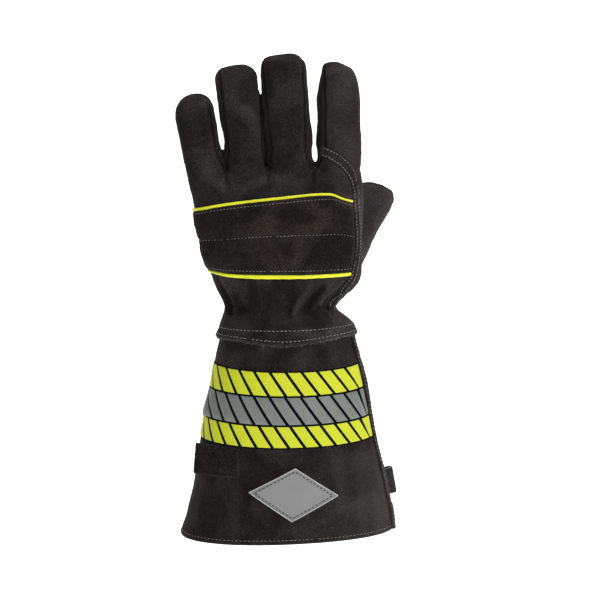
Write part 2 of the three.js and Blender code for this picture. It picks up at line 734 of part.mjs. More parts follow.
// The way round the cuff at a level, from one side of the binding to the other: its length, and the
// angle at a share of it
function girth(level, clear) {
  const from = roundCuff(seamAngle, level, clear);
  const to = 360 + roundCuff(seamAngle, level, -clear);
  const angles = steps(girthSteps).map((share) => from + share * (to - from));
  const lengths = [0];
  for (let i = 1; i <= girthSteps; i += 1) {
    const step = cuffPoint(angles[i - 1], level, 0).distanceTo(cuffPoint(angles[i], level, 0));
    lengths.push(lengths[i - 1] + step);
  }
  const length = lengths[girthSteps];
  const angleAt = (share) => {
    let i = 0;
    while (i < girthSteps - 1 && share * length > lengths[i + 1]) i += 1;
    const part = (share * length - lengths[i]) / (lengths[i + 1] - lengths[i]);
    return angles[i] + part * (angles[i + 1] - angles[i]);
  };
  return { length, angleAt };
}

// A tape round the cuff, its face parted by slanted grooves
function addTape(name, low, height, material) {
  const levels = [girth(low, bindingWidth / 2 + sewnGap), girth(low + height, bindingWidth / 2 + sewnGap)];
  const length = (levels[0].length + levels[1].length) / 2;
  const count = Math.round(length / groovePitch);
  const groove = (grooveWidth * count) / length;
  const marks = [{ at: 0, cut: 0 }];
  for (let i = 1; i < count; i += 1) {
    marks.push({ at: (i - groove) / count, cut: 0 }, { at: (i - groove / 2) / count, cut: tapeGroove });
    marks.push({ at: i / count, cut: 0 });
  }
  marks.push({ at: 1, cut: 0 });
  const slant = (grooveSlant * height) / length;
  const angleAt = ({ at }, v) => {
    const room = Math.min(1, at * count, (1 - at) * count);
    return levels[v].angleAt(at + slant * (0.5 - v) * room);
  };
  const face = (offset, cut) => (i, v) => {
    const angle = angleAt(marks[i], v);
    const lift = tapeLift * Math.cos(radians(angle)) ** 4;
    const level = bowed(low + v * height, angle);
    return cuffPoint(angle, level, tapeClear + lift + offset - cut * marks[i].cut);
  };
  const across = marks.map((_, i) => i);
  place(name, sheet(face(0, 0), face(tapeThickness, 1), across, [0, 1]), material);
}

function addBand() {
  addTape("tape_lower", bandFoot, lowerTape, yellowTape);
  addTape("tape_silver", silverFoot, silverTape, silver);
  addTape("tape_upper", upperFoot, upperTape, yellowTape);
}

// A patch sewn on the cuff's front: its outline's corners are left, bottom, right and top
function addPatch(name, corners, thickness, material) {
  const [a, b, c, d] = corners;
  const spot = (u, v) => {
    const along = (p, q) => [p[0] + (q[0] - p[0]) * u, p[1] + (q[1] - p[1]) * u];
    const [low, high] = [along(a, b), along(d, c)];
    return [low[0] + (high[0] - low[0]) * v, low[1] + (high[1] - low[1]) * v];
  };
  const face = (offset) => (u, v) => {
    const [x, height] = spot(u, v);
    return cuffPoint(cuffAngleAt(x, height), height, offset);
  };
  const under = face(patchClear);
  place(name, sheet(under, face(patchClear + thickness), steps(patchSteps), steps(patchSteps)), material);
}

function addLabel() {
  const tilt = radians(labelTilt);
  const corner = (x, z) => [
    labelCentre.x + x * Math.cos(tilt) - z * Math.sin(tilt),
    labelCentre.z + x * Math.sin(tilt) + z * Math.cos(tilt),
  ];
  const [wide, high] = [labelWidth / 2, labelHeight / 2];
  const corners = [corner(-wide, 0), corner(0, -high), corner(wide, 0), corner(0, high)];
  addPatch("label", corners, labelThickness, greyCloth);
}

function addHookPatch() {
  const face = (offset) => (u, v) => {
    const height = hookCentre.z + (v - 0.5) * hookHeight;
    const end = cuffAngleAt(hookCentre.x, height);
    return cuffPoint(roundCuff(end, height, (u - 1) * hookWidth), height, offset);
  };
  const under = face(patchClear);
  const over = face(patchClear + hookThickness);
  place("hook_patch", sheet(under, over, steps(patchSteps), steps(patchSteps / 2)), hookTape);
}

// A short loop of webbing sewn to the cuff's thumb side
function addHangLoop() {
  const half = loopWidth / 2;
  const shape = new THREE.Shape();
  shape.moveTo(0, -half);
  shape.lineTo(loopReach - half, -half);
  shape.absarc(loopReach - half, 0, half, -Math.PI / 2, Math.PI / 2, false);
  shape.lineTo(0, half);
  shape.lineTo(0, -half);
  const bore = new THREE.Path();
  const inside = half - loopThickness;
  bore.moveTo(loopThickness, -inside);
  bore.absarc(loopReach - half, 0, inside, -Math.PI / 2, Math.PI / 2, false);
  bore.lineTo(loopThickness, inside);
  bore.lineTo(loopThickness, -inside);
  shape.holes.push(bore);
  const settings = { depth: loopHeight, bevelEnabled: false, curveSegments: 6 };
  const band = new THREE.ExtrudeGeometry(shape, settings);
  const [low, high] = [loopFoot, loopFoot + loopHeight];
  const [foot, head] = [low, high].map((height) => cuffPoint(loopAngle, height, sewnGap));
  const [before, after] = [-1, 1].map((turn) => cuffPoint(loopAngle + turn, low, sewnGap));
  const up = head.clone().sub(foot).normalize();
  const out = after.sub(before).cross(up).normalize();
  const side = up.clone().cross(out);
  band.applyMatrix4(new THREE.Matrix4().makeBasis(out, side, up).setPosition(foot));
  place("hang_loop", solidOf(band), webbing);
}

addCuff();
addHand();
addSeamStrip();
addGuard();
addPiping("piping_upper", guardHigh, 1);
addPiping("piping_lower", guardLow, -1);
addBand();
addLabel();
addHookPatch();
addHangLoop();

// The origin is under the middle of the glove, on the surface that it stands on.
const box = new THREE.Box3().setFromObject(glove);
const middle = box.getCenter(new THREE.Vector3());
glove.position.set(-middle.x, -middle.y, -box.min.z);

export default glove;
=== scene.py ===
# The looks of a left-hand firefighting glove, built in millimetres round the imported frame.
# Its fingers point up, the back of the hand faces the camera along -Y, and the thumb is on the right.
import math
import time

import bpy
import numpy as np
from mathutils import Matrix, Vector
from mathutils.bvhtree import BVHTree


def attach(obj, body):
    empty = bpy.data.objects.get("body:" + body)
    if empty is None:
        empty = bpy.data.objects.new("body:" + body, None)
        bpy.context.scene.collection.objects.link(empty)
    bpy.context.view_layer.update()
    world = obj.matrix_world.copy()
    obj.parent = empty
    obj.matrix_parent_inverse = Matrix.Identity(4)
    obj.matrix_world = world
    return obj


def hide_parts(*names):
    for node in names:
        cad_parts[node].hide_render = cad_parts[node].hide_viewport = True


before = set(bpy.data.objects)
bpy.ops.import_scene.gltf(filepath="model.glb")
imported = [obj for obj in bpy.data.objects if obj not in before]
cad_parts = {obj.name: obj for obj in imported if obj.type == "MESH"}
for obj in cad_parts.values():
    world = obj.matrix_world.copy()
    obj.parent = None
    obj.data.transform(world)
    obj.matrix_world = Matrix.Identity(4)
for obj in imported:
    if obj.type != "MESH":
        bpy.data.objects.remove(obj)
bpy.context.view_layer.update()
chance = np.random.RandomState(41)
millimetre = 0.001
partShift = np.array((-0.0925, -0.0051, 0.0))  # puts the origin under the glove's middle

started = time.time()


def report(stage):
    print(stage, "after", round(time.time() - started), "seconds")


# camera, floor and light

cameraSet = {"place": (0.0102, -1.28, 0.326), "down": 6.463, "lens": 99.7}
stageSet = {
    "front": -4.0, "back": 2.9, "bend": 0.9, "high": 3.4, "wide": 5.0,
    "colour": (0.94, 0.94, 0.94), "glow": 0.9,
}
lightSet = {
    "key": {"place": (1.0, -1.1, 1.1), "size": 0.6, "power": 21},
    "fill": {"place": (-1.2, -1.5, 0.7), "size": 1.0, "power": 2.5},
    "top": {"place": (0.1, 0.0, 1.9), "size": 1.0, "power": 12},
}
worldGlow = 0.2

cameraData = bpy.data.cameras.new("photoCamera")
cameraData.lens = cameraSet["lens"]
cameraData.sensor_width = 36
camera = bpy.data.objects.new("photoCamera", cameraData)
camera.location = cameraSet["place"]
camera.rotation_euler = (math.radians(90 - cameraSet["down"]), 0, 0)
bpy.context.scene.collection.objects.link(camera)
bpy.context.scene.camera = camera

bpy.context.scene.view_settings.view_transform = "Standard"
for lightName, look in lightSet.items():
    lamp = bpy.data.lights.new(lightName, "AREA")
    lamp.size = look["size"]
    lamp.energy = look["power"]
    holder = bpy.data.objects.new(lightName, lamp)
    holder.location = look["place"]
    aim = Vector((0, 0, 0.2)) - holder.location
    holder.rotation_euler = aim.to_track_quat("-Z", "Y").to_euler()
    bpy.context.scene.collection.objects.link(holder)

world = bpy.data.worlds.new("softWorld")
world.use_nodes = True
world.node_tree.nodes["Background"].inputs["Color"].default_value = (1, 1, 1, 1)
world.node_tree.nodes["Background"].inputs["Strength"].default_value = worldGlow
bpy.context.scene.world = world


# small helpers

def curveThrough(places, values):
    # a smooth curve without overshoot, the same as the source's
    places, values = np.array(places, float), np.array(values, float)
    rises = np.diff(values) / np.diff(places)
    slopes = np.zeros(len(values))
    slopes[0], slopes[-1] = rises[0], rises[-1]
    for i in range(1, len(values) - 1):
        before, after = rises[i - 1], rises[i]
        if before * after > 0:
            slopes[i] = 2 * before * after / (before + after)

    def valueAt(place):
        t = np.clip(place, places[0], places[-1])
        i = np.clip(np.searchsorted(places, t, side="left") - 1, 0, len(places) - 2)
        span = places[i + 1] - places[i]
        s = (t - places[i]) / span
        keep = (1 + 2 * s) * (1 - s) ** 2
        gain = s * s * (3 - 2 * s)
        leave, arrive = s * (1 - s) ** 2 * span, s * s * (s - 1) * span
        return values[i] * keep + values[i + 1] * gain + slopes[i] * leave + slopes[i + 1] * arrive

    return valueAt


def mix(low, high, share):
    return low + (high - low) * share


def easeBetween(value, low, high):
    s = np.clip((value - low) / (high - low), 0, 1)
    return s * s * (3 - 2 * s)


def ovalPoint(angle, halfWidth, front, back, power):
    # a point of a squared oval, at an angle in degrees
    turn = np.radians(angle)
    cosine, sine = np.cos(turn), np.sin(turn)
    x = np.sign(cosine) * np.abs(cosine) ** (2 / power) * halfWidth
    y = np.sign(sine) * np.abs(sine) ** (2 / power) * np.where(sine < 0, front, back)
    return x, y


def waves(points, length, seed, count=9):
    # even noise of about one wavelength, mostly between -2 and 2
    draw = np.random.RandomState(seed)
    total = np.zeros(points.shape[:-1])
    for i in range(count):
        axis = draw.normal(size=3)
        axis *= 2 * math.pi / length * draw.uniform(0.7, 1.4) / np.linalg.norm(axis)
        total += np.sin(points @ axis + draw.uniform(0, 2 * math.pi))
    return total / math.sqrt(count / 2)


def stacked(x, y, z):
    return np.stack(np.broadcast_arrays(x, y, z), axis=-1).astype(float)


def unit(ways):
    # one direction, or a row or grid of them, at length 1
    return ways / np.linalg.norm(ways, axis=-1, keepdims=True)


def reached(path):
    # the distance along a path at each of its points
    return np.concatenate([[0], np.cumsum(np.linalg.norm(np.diff(path, axis=0), axis=1))])


def gridFaces(rows, columns, closed=False, start=0):
    # quads over a grid of points kept row after row; closed joins the last column to the first
    i = np.arange(columns if closed else columns - 1)
    j = np.arange(rows - 1)[:, None]
    after = (i + 1) % columns
    a, b = start + j * columns + i, start + j * columns + after
    return np.stack([a, b, b + columns, a + columns], axis=-1).reshape(-1, 4)


def slab(inner, outer):
    # a closed sheet between two faces of points, rows by columns, the outer one to the front
    rows, columns = outer.shape[:2]
    size = rows * columns
    points = np.concatenate([outer.reshape(-1, 3), inner.reshape(-1, 3)])
    index = np.arange(size).reshape(rows, columns)
    rim = np.concatenate([index[0], index[1:, -1], index[-1, -2::-1], index[-2:0:-1, 0]])
    turned = np.roll(rim, -1)
    walls = np.stack([rim, rim + size, turned + size, turned], axis=-1)
    faces = np.concatenate([gridFaces(rows, columns), gridFaces(rows, columns, start=size)[:, ::-1], walls])
    return points, faces


def gathered(parts):
    # several (points, faces) as one
    points, faces, count = [], [], 0
    for partPoints, partFaces in parts:
        points.append(np.asarray(partPoints, float).reshape(-1, 3))
        faces += [tuple(int(k) + count for k in face) for face in partFaces]
        count += len(points[-1])
    return np.concatenate(points), faces


def meshFrom(name, points, faces):
    mesh = bpy.data.meshes.new(name)
    flat = (np.asarray(points, float) + partShift) * millimetre
    mesh.from_pydata(flat.tolist(), [], [tuple(int(k) for k in face) for face in faces])
    mesh.update()
    return mesh


def addPiece(name, mesh, finish, stands=(), sharp=40):
    mesh.polygons.foreach_set("use_smooth", np.ones(len(mesh.polygons), bool))
    if sharp:
        mesh.set_sharp_from_angle(angle=math.radians(sharp))
    mesh.materials.append(finish)
    piece = bpy.data.objects.new(name, mesh)
    bpy.context.scene.collection.objects.link(piece)
    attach(piece, "root")
    if stands:
        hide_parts(*stands)
    return piece


def addParts(name, parts, finish, stands=(), sharp=0):
    return addPiece(name, meshFrom(name, *gathered(parts)), finish, stands, sharp)


def paint(mesh, name, values):
    # a number for each point, for the finish to read
    layer = mesh.attributes.new(name, "FLOAT", "POINT")
    layer.data.foreach_set("value", np.asarray(values, np.float32).ravel())


def paintOuter(mesh, name, values):
    # the same for a slab: its outer face is painted, its inner face stays 0
    paint(mesh, name, np.concatenate([np.ravel(values), np.zeros(np.size(values))]))


def treeOf(parts):
    points, faces = gathered(parts)
    return BVHTree.FromPolygons(points.tolist(), faces)


# finishes

def startFinish(name):
    finish = bpy.data.materials.new(name)
    finish.use_nodes = True
    tree = finish.node_tree
    return finish, tree, tree.nodes["Principled BSDF"]


def addNode(tree, kind, settings=None, **inputs):
    node = tree.nodes.new("ShaderNode" + kind)
    for key, value in (settings or {}).items():
        setattr(node, key, value)
    for key, value in inputs.items():
        socket = node.inputs[int(key[1:])] if key[0] == "i" and key[1:].isdigit() else node.inputs[key]
        if isinstance(value, bpy.types.NodeSocket):
            tree.links.new(value, socket)
        else:
            socket.default_value = value
    return node


def noiseNode(tree, where, size, detail=3.0, rough=0.55, swirl=0.0):
    # size is the noise's grain in millimetres
    node = addNode(tree, "TexNoise", None, Vector=where, Scale=1000.0 / size, Detail=detail, Roughness=rough)
    node.inputs["Distortion"].default_value = swirl
    return node.outputs["Fac"]


def spread(tree, value, low, high, start=0.0, end=1.0):
    # maps low..high of a value to start..end
    node = addNode(tree, "MapRange", {"clamp": True}, i0=value, i1=low, i2=high, i3=start, i4=end)
    return node.outputs[0]


def blended(tree, share, first, second, way="MIX"):
    node = addNode(tree, "Mix", {"data_type": "RGBA", "blend_type": way})
    for socket, value in ((node.inputs[0], share), (node.inputs[6], first), (node.inputs[7], second)):
        if isinstance(value, bpy.types.NodeSocket):
            tree.links.new(value, socket)
        else:
            socket.default_value = value
    return node.outputs[2]


def sumOf(tree, way, first, second):
    return addNode(tree, "Math", {"operation": way}, i0=first, i1=second).outputs[0]


def painted(tree, name):
    return addNode(tree, "Attribute", {"attribute_name": name}).outputs["Fac"]


def bumped(tree, shader, height, strength, depth):
    # depth is in millimetres
    node = addNode(tree, "Bump", None, Strength=strength, Distance=depth * millimetre, Height=height)
    tree.links.new(node.outputs["Normal"], shader.inputs["Normal"])


def rgb(red, green, blue):
    return (red, green, blue, 1)


suedeSet = {
    "dark": rgb(0.0048, 0.0038, 0.0036),
    "pale": rgb(0.0160, 0.0131, 0.0125),
    # a pale colour for dusty patches, worn places and painted light
    "dustAndLight": rgb(0.0560, 0.0490, 0.0470),
    "rough": 0.95,
    "sheen": 0.05,
    "sheenRough": 0.5,
    "nap": 0.55,  # depth of the nap, millimetres
    "speck": rgb(0.09, 0.084, 0.080),
    # the colour of the painted shade in seams, folds and on sides turned from the light
    "groove": rgb(0.0035, 0.003, 0.003),
    "tint": rgb(0.86, 0.80, 0.76),
}


def suedeFinish(name, shade, dusty=0.5, grain=1.0):
    # split leather: a short nap that lies in clouds, rubbed pale on its ridges; painted light and painted shade are
    # read from the mesh's attributes
    finish, tree, shader = startFinish(name)
    where = addNode(tree, "TexCoord").outputs["Object"]
    cloud = noiseNode(tree, where, 17, 5, 0.62, 0.6)
    patch = noiseNode(tree, where, 46, 3, 0.5, 0.8)
    nap = noiseNode(tree, where, 0.95 * grain, 3, 0.75)
    hair = noiseNode(tree, where, 0.5 * grain, 2, 0.6)
    fleck = noiseNode(tree, where, 0.75, 1, 0.4)
    tone = spread(tree, cloud, 0.3, 0.72, 0.0, 0.95)
    colour = blended(tree, tone, suedeSet["dark"], suedeSet["pale"])
    dusted = spread(tree, patch, 0.52, 0.75, 0.0, dusty)
    colour = blended(tree, dusted, colour, suedeSet["dustAndLight"])
    napTone = spread(tree, nap, 0.34, 0.66, 0.2, 1.95)
    napGrey = addNode(tree, "CombineColor", None, i0=napTone, i1=napTone, i2=napTone).outputs[0]
    colour = blended(tree, 1.0, colour, napGrey, "MULTIPLY")
    specks = spread(tree, fleck, 0.68, 0.78, 0.0, 0.35)
    colour = blended(tree, specks, colour, suedeSet["speck"])
    # worn places and painted light, both from a painted attribute, turn towards the pale colour
    wornAndLit = sumOf(tree, "MULTIPLY", painted(tree, "wearAndPaintedLight"), spread(tree, nap, 0.32, 0.66, 0.25, 1.0))
    colour = blended(tree, wornAndLit, colour, suedeSet["dustAndLight"])
    # painted shade: darkens towards the shade colour where the mesh carries painted shade
    colour = blended(tree, painted(tree, "groove"), colour, suedeSet["groove"])
    colour = blended(tree, 1.0, colour, rgb(*shade), "MULTIPLY")
    tree.links.new(colour, shader.inputs["Base Color"])
    shader.inputs["Roughness"].default_value = suedeSet["rough"]
    shader.inputs["Specular IOR Level"].default_value = 0.06
    shader.inputs["Sheen Weight"].default_value = suedeSet["sheen"]
    shader.inputs["Sheen Roughness"].default_value = suedeSet["sheenRough"]
    shader.inputs["Sheen Tint"].default_value = suedeSet["tint"]
    height = sumOf(tree, "ADD", sumOf(tree, "MULTIPLY", nap, 0.7), sumOf(tree, "MULTIPLY", hair, 0.5))
    bumped(tree, shader, height, 0.8, suedeSet["nap"])
    return finish


def clothFinish(name, colour, darker, pitch, rough=0.7, shine=0.3, depth=0.12, dirt=0.15, metal=0.0):
    # a fine weave in two directions, with faint soiling
    finish, tree, shader = startFinish(name)
    where = addNode(tree, "TexCoord").outputs["Object"]
    scale = 1000 / pitch / 6.283
    weft, warp = (
        addNode(
            tree, "TexWave", {"wave_type": "BANDS", "bands_direction": way},
            Vector=where, Scale=scale, Distortion=0.6, Detail=1.0,
        ).outputs["Fac"]
        for way in ("Z", "X")
    )
    weave = sumOf(tree, "MULTIPLY", weft, warp)
    soil = noiseNode(tree, where, 14, 5, 0.6, 0.5)
    tone = sumOf(tree, "ADD", spread(tree, weave, 0.0, 1.0, 0.25, 0.0), spread(tree, soil, 0.45, 0.75, 0.0, dirt))
    base = blended(tree, tone, colour, darker)
    tree.links.new(base, shader.inputs["Base Color"])
    shader.inputs["Roughness"].default_value = rough
    shader.inputs["Specular IOR Level"].default_value = shine
    shader.inputs["Metallic"].default_value = metal
    bumped(tree, shader, weave, 0.5, depth)
    return finish


def vinylFinish(name, colour, darker):
    finish, tree, shader = startFinish(name)
    where = addNode(tree, "TexCoord").outputs["Object"]
    grain = noiseNode(tree, where, 1.6, 3, 0.6)
    soil = noiseNode(tree, where, 9, 5, 0.65, 0.8)
    base = blended(tree, spread(tree, soil, 0.5, 0.78, 0.0, 0.55), colour, darker)
    # painted shade in grooves, towards a dark yellow
    base = blended(tree, painted(tree, "groove"), base, rgb(0.10, 0.10, 0.02))
    tree.links.new(base, shader.inputs["Base Color"])
    tree.links.new(spread(tree, soil, 0.3, 0.7, 0.42, 0.62), shader.inputs["Roughness"])
    shader.inputs["Specular IOR Level"].default_value = 0.45
    bumped(tree, shader, grain, 0.35, 0.12)
    return finish


def threadFinish(name, colour, darker):
    finish, tree, shader = startFinish(name)
    where = addNode(tree, "TexCoord").outputs["Object"]
    twist = noiseNode(tree, where, 0.35, 2, 0.5)
    soil = noiseNode(tree, where, 6, 3, 0.6)
    base = blended(tree, spread(tree, soil, 0.35, 0.7, 0.0, 0.8), colour, darker)
    base = blended(tree, spread(tree, twist, 0.4, 0.7, 0.0, 0.4), base, darker)
    tree.links.new(base, shader.inputs["Base Color"])
    shader.inputs["Roughness"].default_value = 0.8
    shader.inputs["Sheen Weight"].default_value = 0.2
    bumped(tree, shader, twist, 0.5, 0.08)
    return finish


handSuede = suedeFinish("handSuede", (0.92, 0.9, 0.92), 0.5)
cuffSuede = suedeFinish("cuffSuede", (0.76, 0.75, 0.72), 0.45)
guardSuede = suedeFinish("guardSuede", (0.74, 0.68, 0.6), 0.4)
stripSuede = suedeFinish("stripSuede", (1.1, 1.08, 1.08), 0.4)
liningKnit = clothFinish("liningKnit", rgb(0.03, 0.028, 0.027), rgb(0.012, 0.012, 0.012), 1.3, 0.95, 0.1, 0.3)
pipingVinyl = vinylFinish("pipingVinyl", rgb(0.60, 0.62, 0.009), rgb(0.36, 0.38, 0.012))
yellowCloth = clothFinish("yellowCloth", rgb(0.46, 0.50, 0.0125), rgb(0.37, 0.40, 0.010), 0.8, 0.62, 0.3, 0.06, 0.3)
silverCloth = clothFinish(
    "silverCloth", rgb(0.155, 0.172, 0.153), rgb(0.115, 0.128, 0.114), 0.6, 0.42, 0.4, 0.04, 0.4, 0.3,
)
bandBlack = clothFinish("bandBlack", rgb(0.003, 0.0035, 0.006), rgb(0.002, 0.002, 0.003), 0.7, 0.85, 0.02, 0.08)
labelGrey = clothFinish("labelGrey", rgb(0.195, 0.195, 0.198), rgb(0.14, 0.14, 0.143), 0.7, 0.75, 0.25, 0.1)
labelRim = clothFinish("labelRim", rgb(0.42, 0.42, 0.42), rgb(0.24, 0.24, 0.24), 0.6, 0.8, 0.2, 0.12)
pileBlack = suedeFinish("pileBlack", (1.35, 1.35, 1.37), 0.35, 1.3)
loopWeb = clothFinish("loopWeb", rgb(0.030, 0.028, 0.028), rgb(0.008, 0.008, 0.008), 1.1, 0.85, 0.1, 0.3)
paleThread = threadFinish("paleThread", rgb(0.24, 0.225, 0.215), rgb(0.06, 0.055, 0.052))
darkThread = threadFinish("darkThread", rgb(0.008, 0.008, 0.009), rgb(0.004, 0.004, 0.004))
report("finishes made")

# the glove's forms, as in the source

glove = {
    "leather": 2.4, "sewnGap": 0.3, "overlay": 1.3,
    "cuffHeight": 158, "hemWidth": 170, "hemDepth": 100, "cuffTopWidth": 101, "cuffTopDepth": 70,
    "cuffTurn": 12, "cuffPower": 2.2, "seamAngle": -16.5, "bindingWidth": 9,
    "handHem": 150, "wristHeight": 177, "wristWidth": 86, "wristDepth": 56, "wristShift": -5.2,
    "knuckleHeight": 262, "crotchHeight": 284, "palmWidth": 134, "palmDepth": 46, "palmShift": -7.6,
    "palmPower": 2.5, "curl": 11, "fingerReach": 108,
    "gatherDepth": 4.6, "gatherLow": 16, "gatherHigh": 24,
    "fingerPower": 2.4, "fingerRoot": 24, "rootTaper": 0.12, "fullAbove": 60,
    "webRise": 9, "sideStrip": 17, "stripTaper": 0.9,
}
# root, splay, length, width, depth, tip, blunt, skew
fingers = {
    "little": (-0.765, -10.5, 78.7, 31, 25, 15, 2.4, 0),
    "ring": (-0.328, -5.6, 99.9, 32.9, 26.5, 15, 2.6, 0),
    "middle": (0.169, -4, 108.7, 35.1, 28, 17, 2.6, 0.02),
    "index": (0.702, 0, 102.4, 33.2, 27, 21, 2.3, -0.05),
}
# how far one side of a finger is taken in at a height, in millimetres; below 0 it is let out
fingerTrims = {
    ("little", 1): (
        (276, 0), (284, -1.2), (290, -1), (294, -0.1), (298, 0.4), (301, 0.8), (305, 1.3),
        (313, 1.2), (322, 0.8), (342, 0.3),
    ),
    ("little", -1): ((322, 0), (327, 0.7), (332, 1.4), (336.5, 2.2), (341, 2.2)),
    ("ring", -1): (
        (276, 0), (284, -1.2), (290, -1), (294, 0.1), (298, 0.7), (301, 1.2), (305, 1.8), (310, 1.9),
        (318, 1.2), (330, 0.3), (348, 0), (359, -1.5),
    ),
    ("ring", 1): ((330, 0), (339, 0), (342, 0.5), (347, 0.5), (351, 0.3), (355, -0.3), (359, -0.9)),
    ("middle", -1): ((330, 0), (339, 0), (342, 0.5), (350, 0.5), (355, 0.2), (359, 0), (364, -0.8), (368, -3)),
    ("middle", 1): (
        (276, 0), (282, -2.4), (287, -2.4), (291, -0.9), (296, -1), (301, -1.9), (309, -2),
        (318, -1.4), (330, -0.5), (350, -0.6),
    ),
    ("index", -1): (
        (276, 0), (282, -1.6), (287, -1.4), (291, 0.3), (296, 0.2), (301, -0.4), (304, -0.4),
        (309, 0.2), (318, 0.5), (327, 0.3), (336, 0.6), (341, 1.5), (346, 2.3), (350, 3),
        (355, 3), (359, 1.5), (363, -2),
    ),
    ("index", 1): (
        (262, 0), (270, -0.8), (285, -1.6), (309, -1.5), (314, -0.8), (330, -0.4), (341, 0.3),
        (359, 0.8), (363, 4),
    ),
}
# at, flare, deep, aside
cuffRows = [
    (0, 1, 1, 0.004), (0.1, 0.87, 0.93, 0.012), (0.25, 0.725, 0.83, 0.014), (0.5, 0.49, 0.6, 0.004),
    (0.75, 0.265, 0.34, 0.004), (0.9, 0.115, 0.15, 0), (1, 0, 0, 0),
]
# at, little, thumb, front, back
palmRows = [
    (0, 0, 0, 1, 1), (0.065, 0.11, 0.3, 0.99, 1.03), (0.12, 0.22, 0.62, 0.98, 1.08),
    (0.18, 0.31, 0.84, 0.98, 1.13), (0.25, 0.42, 0.935, 0.98, 1.2), (0.355, 0.56, 0.935, 1, 1.25),
    (0.47, 0.68, 0.935, 1.01, 1.2), (0.59, 0.79, 0.97, 1, 1.1), (0.7, 0.865, 0.97, 0.96, 1),
    (0.8, 0.925, 0.96, 0.87, 0.9), (0.88, 1, 0.95, 0.72, 0.76), (0.95, 0.97, 0.92, 0.53, 0.57),
    (1, 0.83, 0.82, 0.32, 0.34),
]
# angle, depth, spread, drift
gathers = [
    (207, 0.8, 9, -4), (229, 1, 8, -6), (250, 0.7, 8, -3), (271, 0.45, 7, 2), (291, 0.85, 8, 9),
    (311, 1, 8, 13), (333, 0.75, 8, 8), (22, 0.7, 9, 3), (47, 0.9, 9, 6), (72, 0.7, 8, 2),
    (96, 0.9, 9, -2), (121, 0.7, 8, -5), (148, 0.9, 9, -6),
]
# at, across, up, behind, turn, wide, deep
thumbRows = [
    (0, 0, 0, 0, 27, 0.7, 0.6), (0.18, 0.085, 0.165, 0.09, 27, 0.98, 0.9),
    (0.4, 0.19, 0.365, 0.19, 27, 1.03, 1.03), (0.62, 0.285, 0.56, 0.26, 25, 1, 1),
    (0.8, 0.378, 0.715, 0.305, 20, 1.01, 0.95), (0.9, 0.422, 0.8, 0.325, 14, 0.98, 0.84),
    (0.96, 0.438, 0.853, 0.332, 11, 0.82, 0.64), (1, 0.446, 0.884, 0.336, 10, 0.42, 0.3),
]
thumb = {"root": (28, 6, 186), "length": 94, "width": 35, "depth": 30}
# at, rise, sag
guardRows = [
    (0, -0.02, 0), (0.14, 0.04, 0.2), (0.37, 0.385, 0.9), (0.53, 0.66, 1), (0.63, 0.89, 1),
    (0.73, 1, 0.8), (0.77, 1, 0.75), (0.85, 0.72, 0.55), (1, 0.45, 0.2),
]
# across, up
seamRows = [
    (0.51, 1.115), (0.6, 1.095), (0.705, 1.055), (0.815, 0.99), (0.885, 0.89), (0.912, 0.7),
    (0.93, 0.51), (0.913, 0.35), (0.875, 0.235), (0.81, 0.155), (0.66, 0.04), (0.62, -0.02),
    (0.69, -0.13), (0.8, -0.27),
]


def columns(rows):
    table = np.array(rows, float)
    return [curveThrough(table[:, 0], table[:, i]) for i in range(1, table.shape[1])]


cuffFlare, cuffDeep, cuffAside = columns(cuffRows)
littleOpen, thumbOpen, palmFront, palmBack = columns(palmRows)
thumbAcross, thumbUp, thumbBehind, thumbTurn, thumbWide, thumbDeep = columns(thumbRows)
guardRise, guardSag = columns(guardRows)


def cuffPoint(angle, height, offset):
    g = glove
    at = height / g["cuffHeight"]
    halfWidth = mix(g["cuffTopWidth"], g["hemWidth"], cuffFlare(at)) / 2 + offset
    halfDepth = mix(g["cuffTopDepth"], g["hemDepth"], cuffDeep(at)) / 2 + offset
    x, y = ovalPoint(angle, halfWidth, halfDepth, halfDepth, g["cuffPower"])
    turn = np.radians(g["cuffTurn"] * (1 - at / 2))
    across = x * np.cos(turn) - y * np.sin(turn) + g["hemWidth"] * cuffAside(at)
    return stacked(across, x * np.sin(turn) + y * np.cos(turn), height)


def lean(height):
    g = glove
    top = g["knuckleHeight"] + g["fingerReach"] - g["wristHeight"]
    return g["curl"] * (np.maximum(0, height - g["wristHeight"]) / top) ** 2


def gatherAt(angle, height):
    g = glove
    away = height - g["wristHeight"]
    reach = np.where(away < 0, g["gatherLow"], g["gatherHigh"])
    fade = np.maximum(0, 1 - (away / reach) ** 2)
    furrow = 0
    for centre, depth, width, drift in gathers:
        turn = (angle - centre - drift * away / g["gatherHigh"] + 540) % 360 - 180
        furrow = furrow + depth * np.exp(-((turn / width) ** 2))
    return g["gatherDepth"] * furrow * fade


def upHand(height):
    return (height - glove["wristHeight"]) / (glove["crotchHeight"] - glove["wristHeight"])


def handPoint(angle, height, offset):
    g = glove
    at = upHand(height)
    halfDepth = mix(g["wristDepth"], g["palmDepth"], littleOpen(at)) / 2
    left = mix(g["wristShift"] - g["wristWidth"] / 2, g["palmShift"] - g["palmWidth"] / 2, littleOpen(at))
    right = mix(g["wristShift"] + g["wristWidth"] / 2, g["palmShift"] + g["palmWidth"] / 2, thumbOpen(at))
    grown = offset - gatherAt(angle, height)
    front, back = halfDepth * palmFront(at) + grown, halfDepth * palmBack(at) + grown
    x, y = ovalPoint(angle, (right - left) / 2 + grown, front, back, g["palmPower"])
    hand = stacked(x + (right + left) / 2, y + lean(height), height)
    lapped = cuffPoint(angle, np.minimum(height, g["cuffHeight"]), g["leather"] + g["sewnGap"] + offset)
    lapped[..., 2] = height
    share = easeBetween(height, g["cuffHeight"] + g["sewnGap"], g["wristHeight"])
    return lapped + (hand - lapped) * np.asarray(share)[..., None]


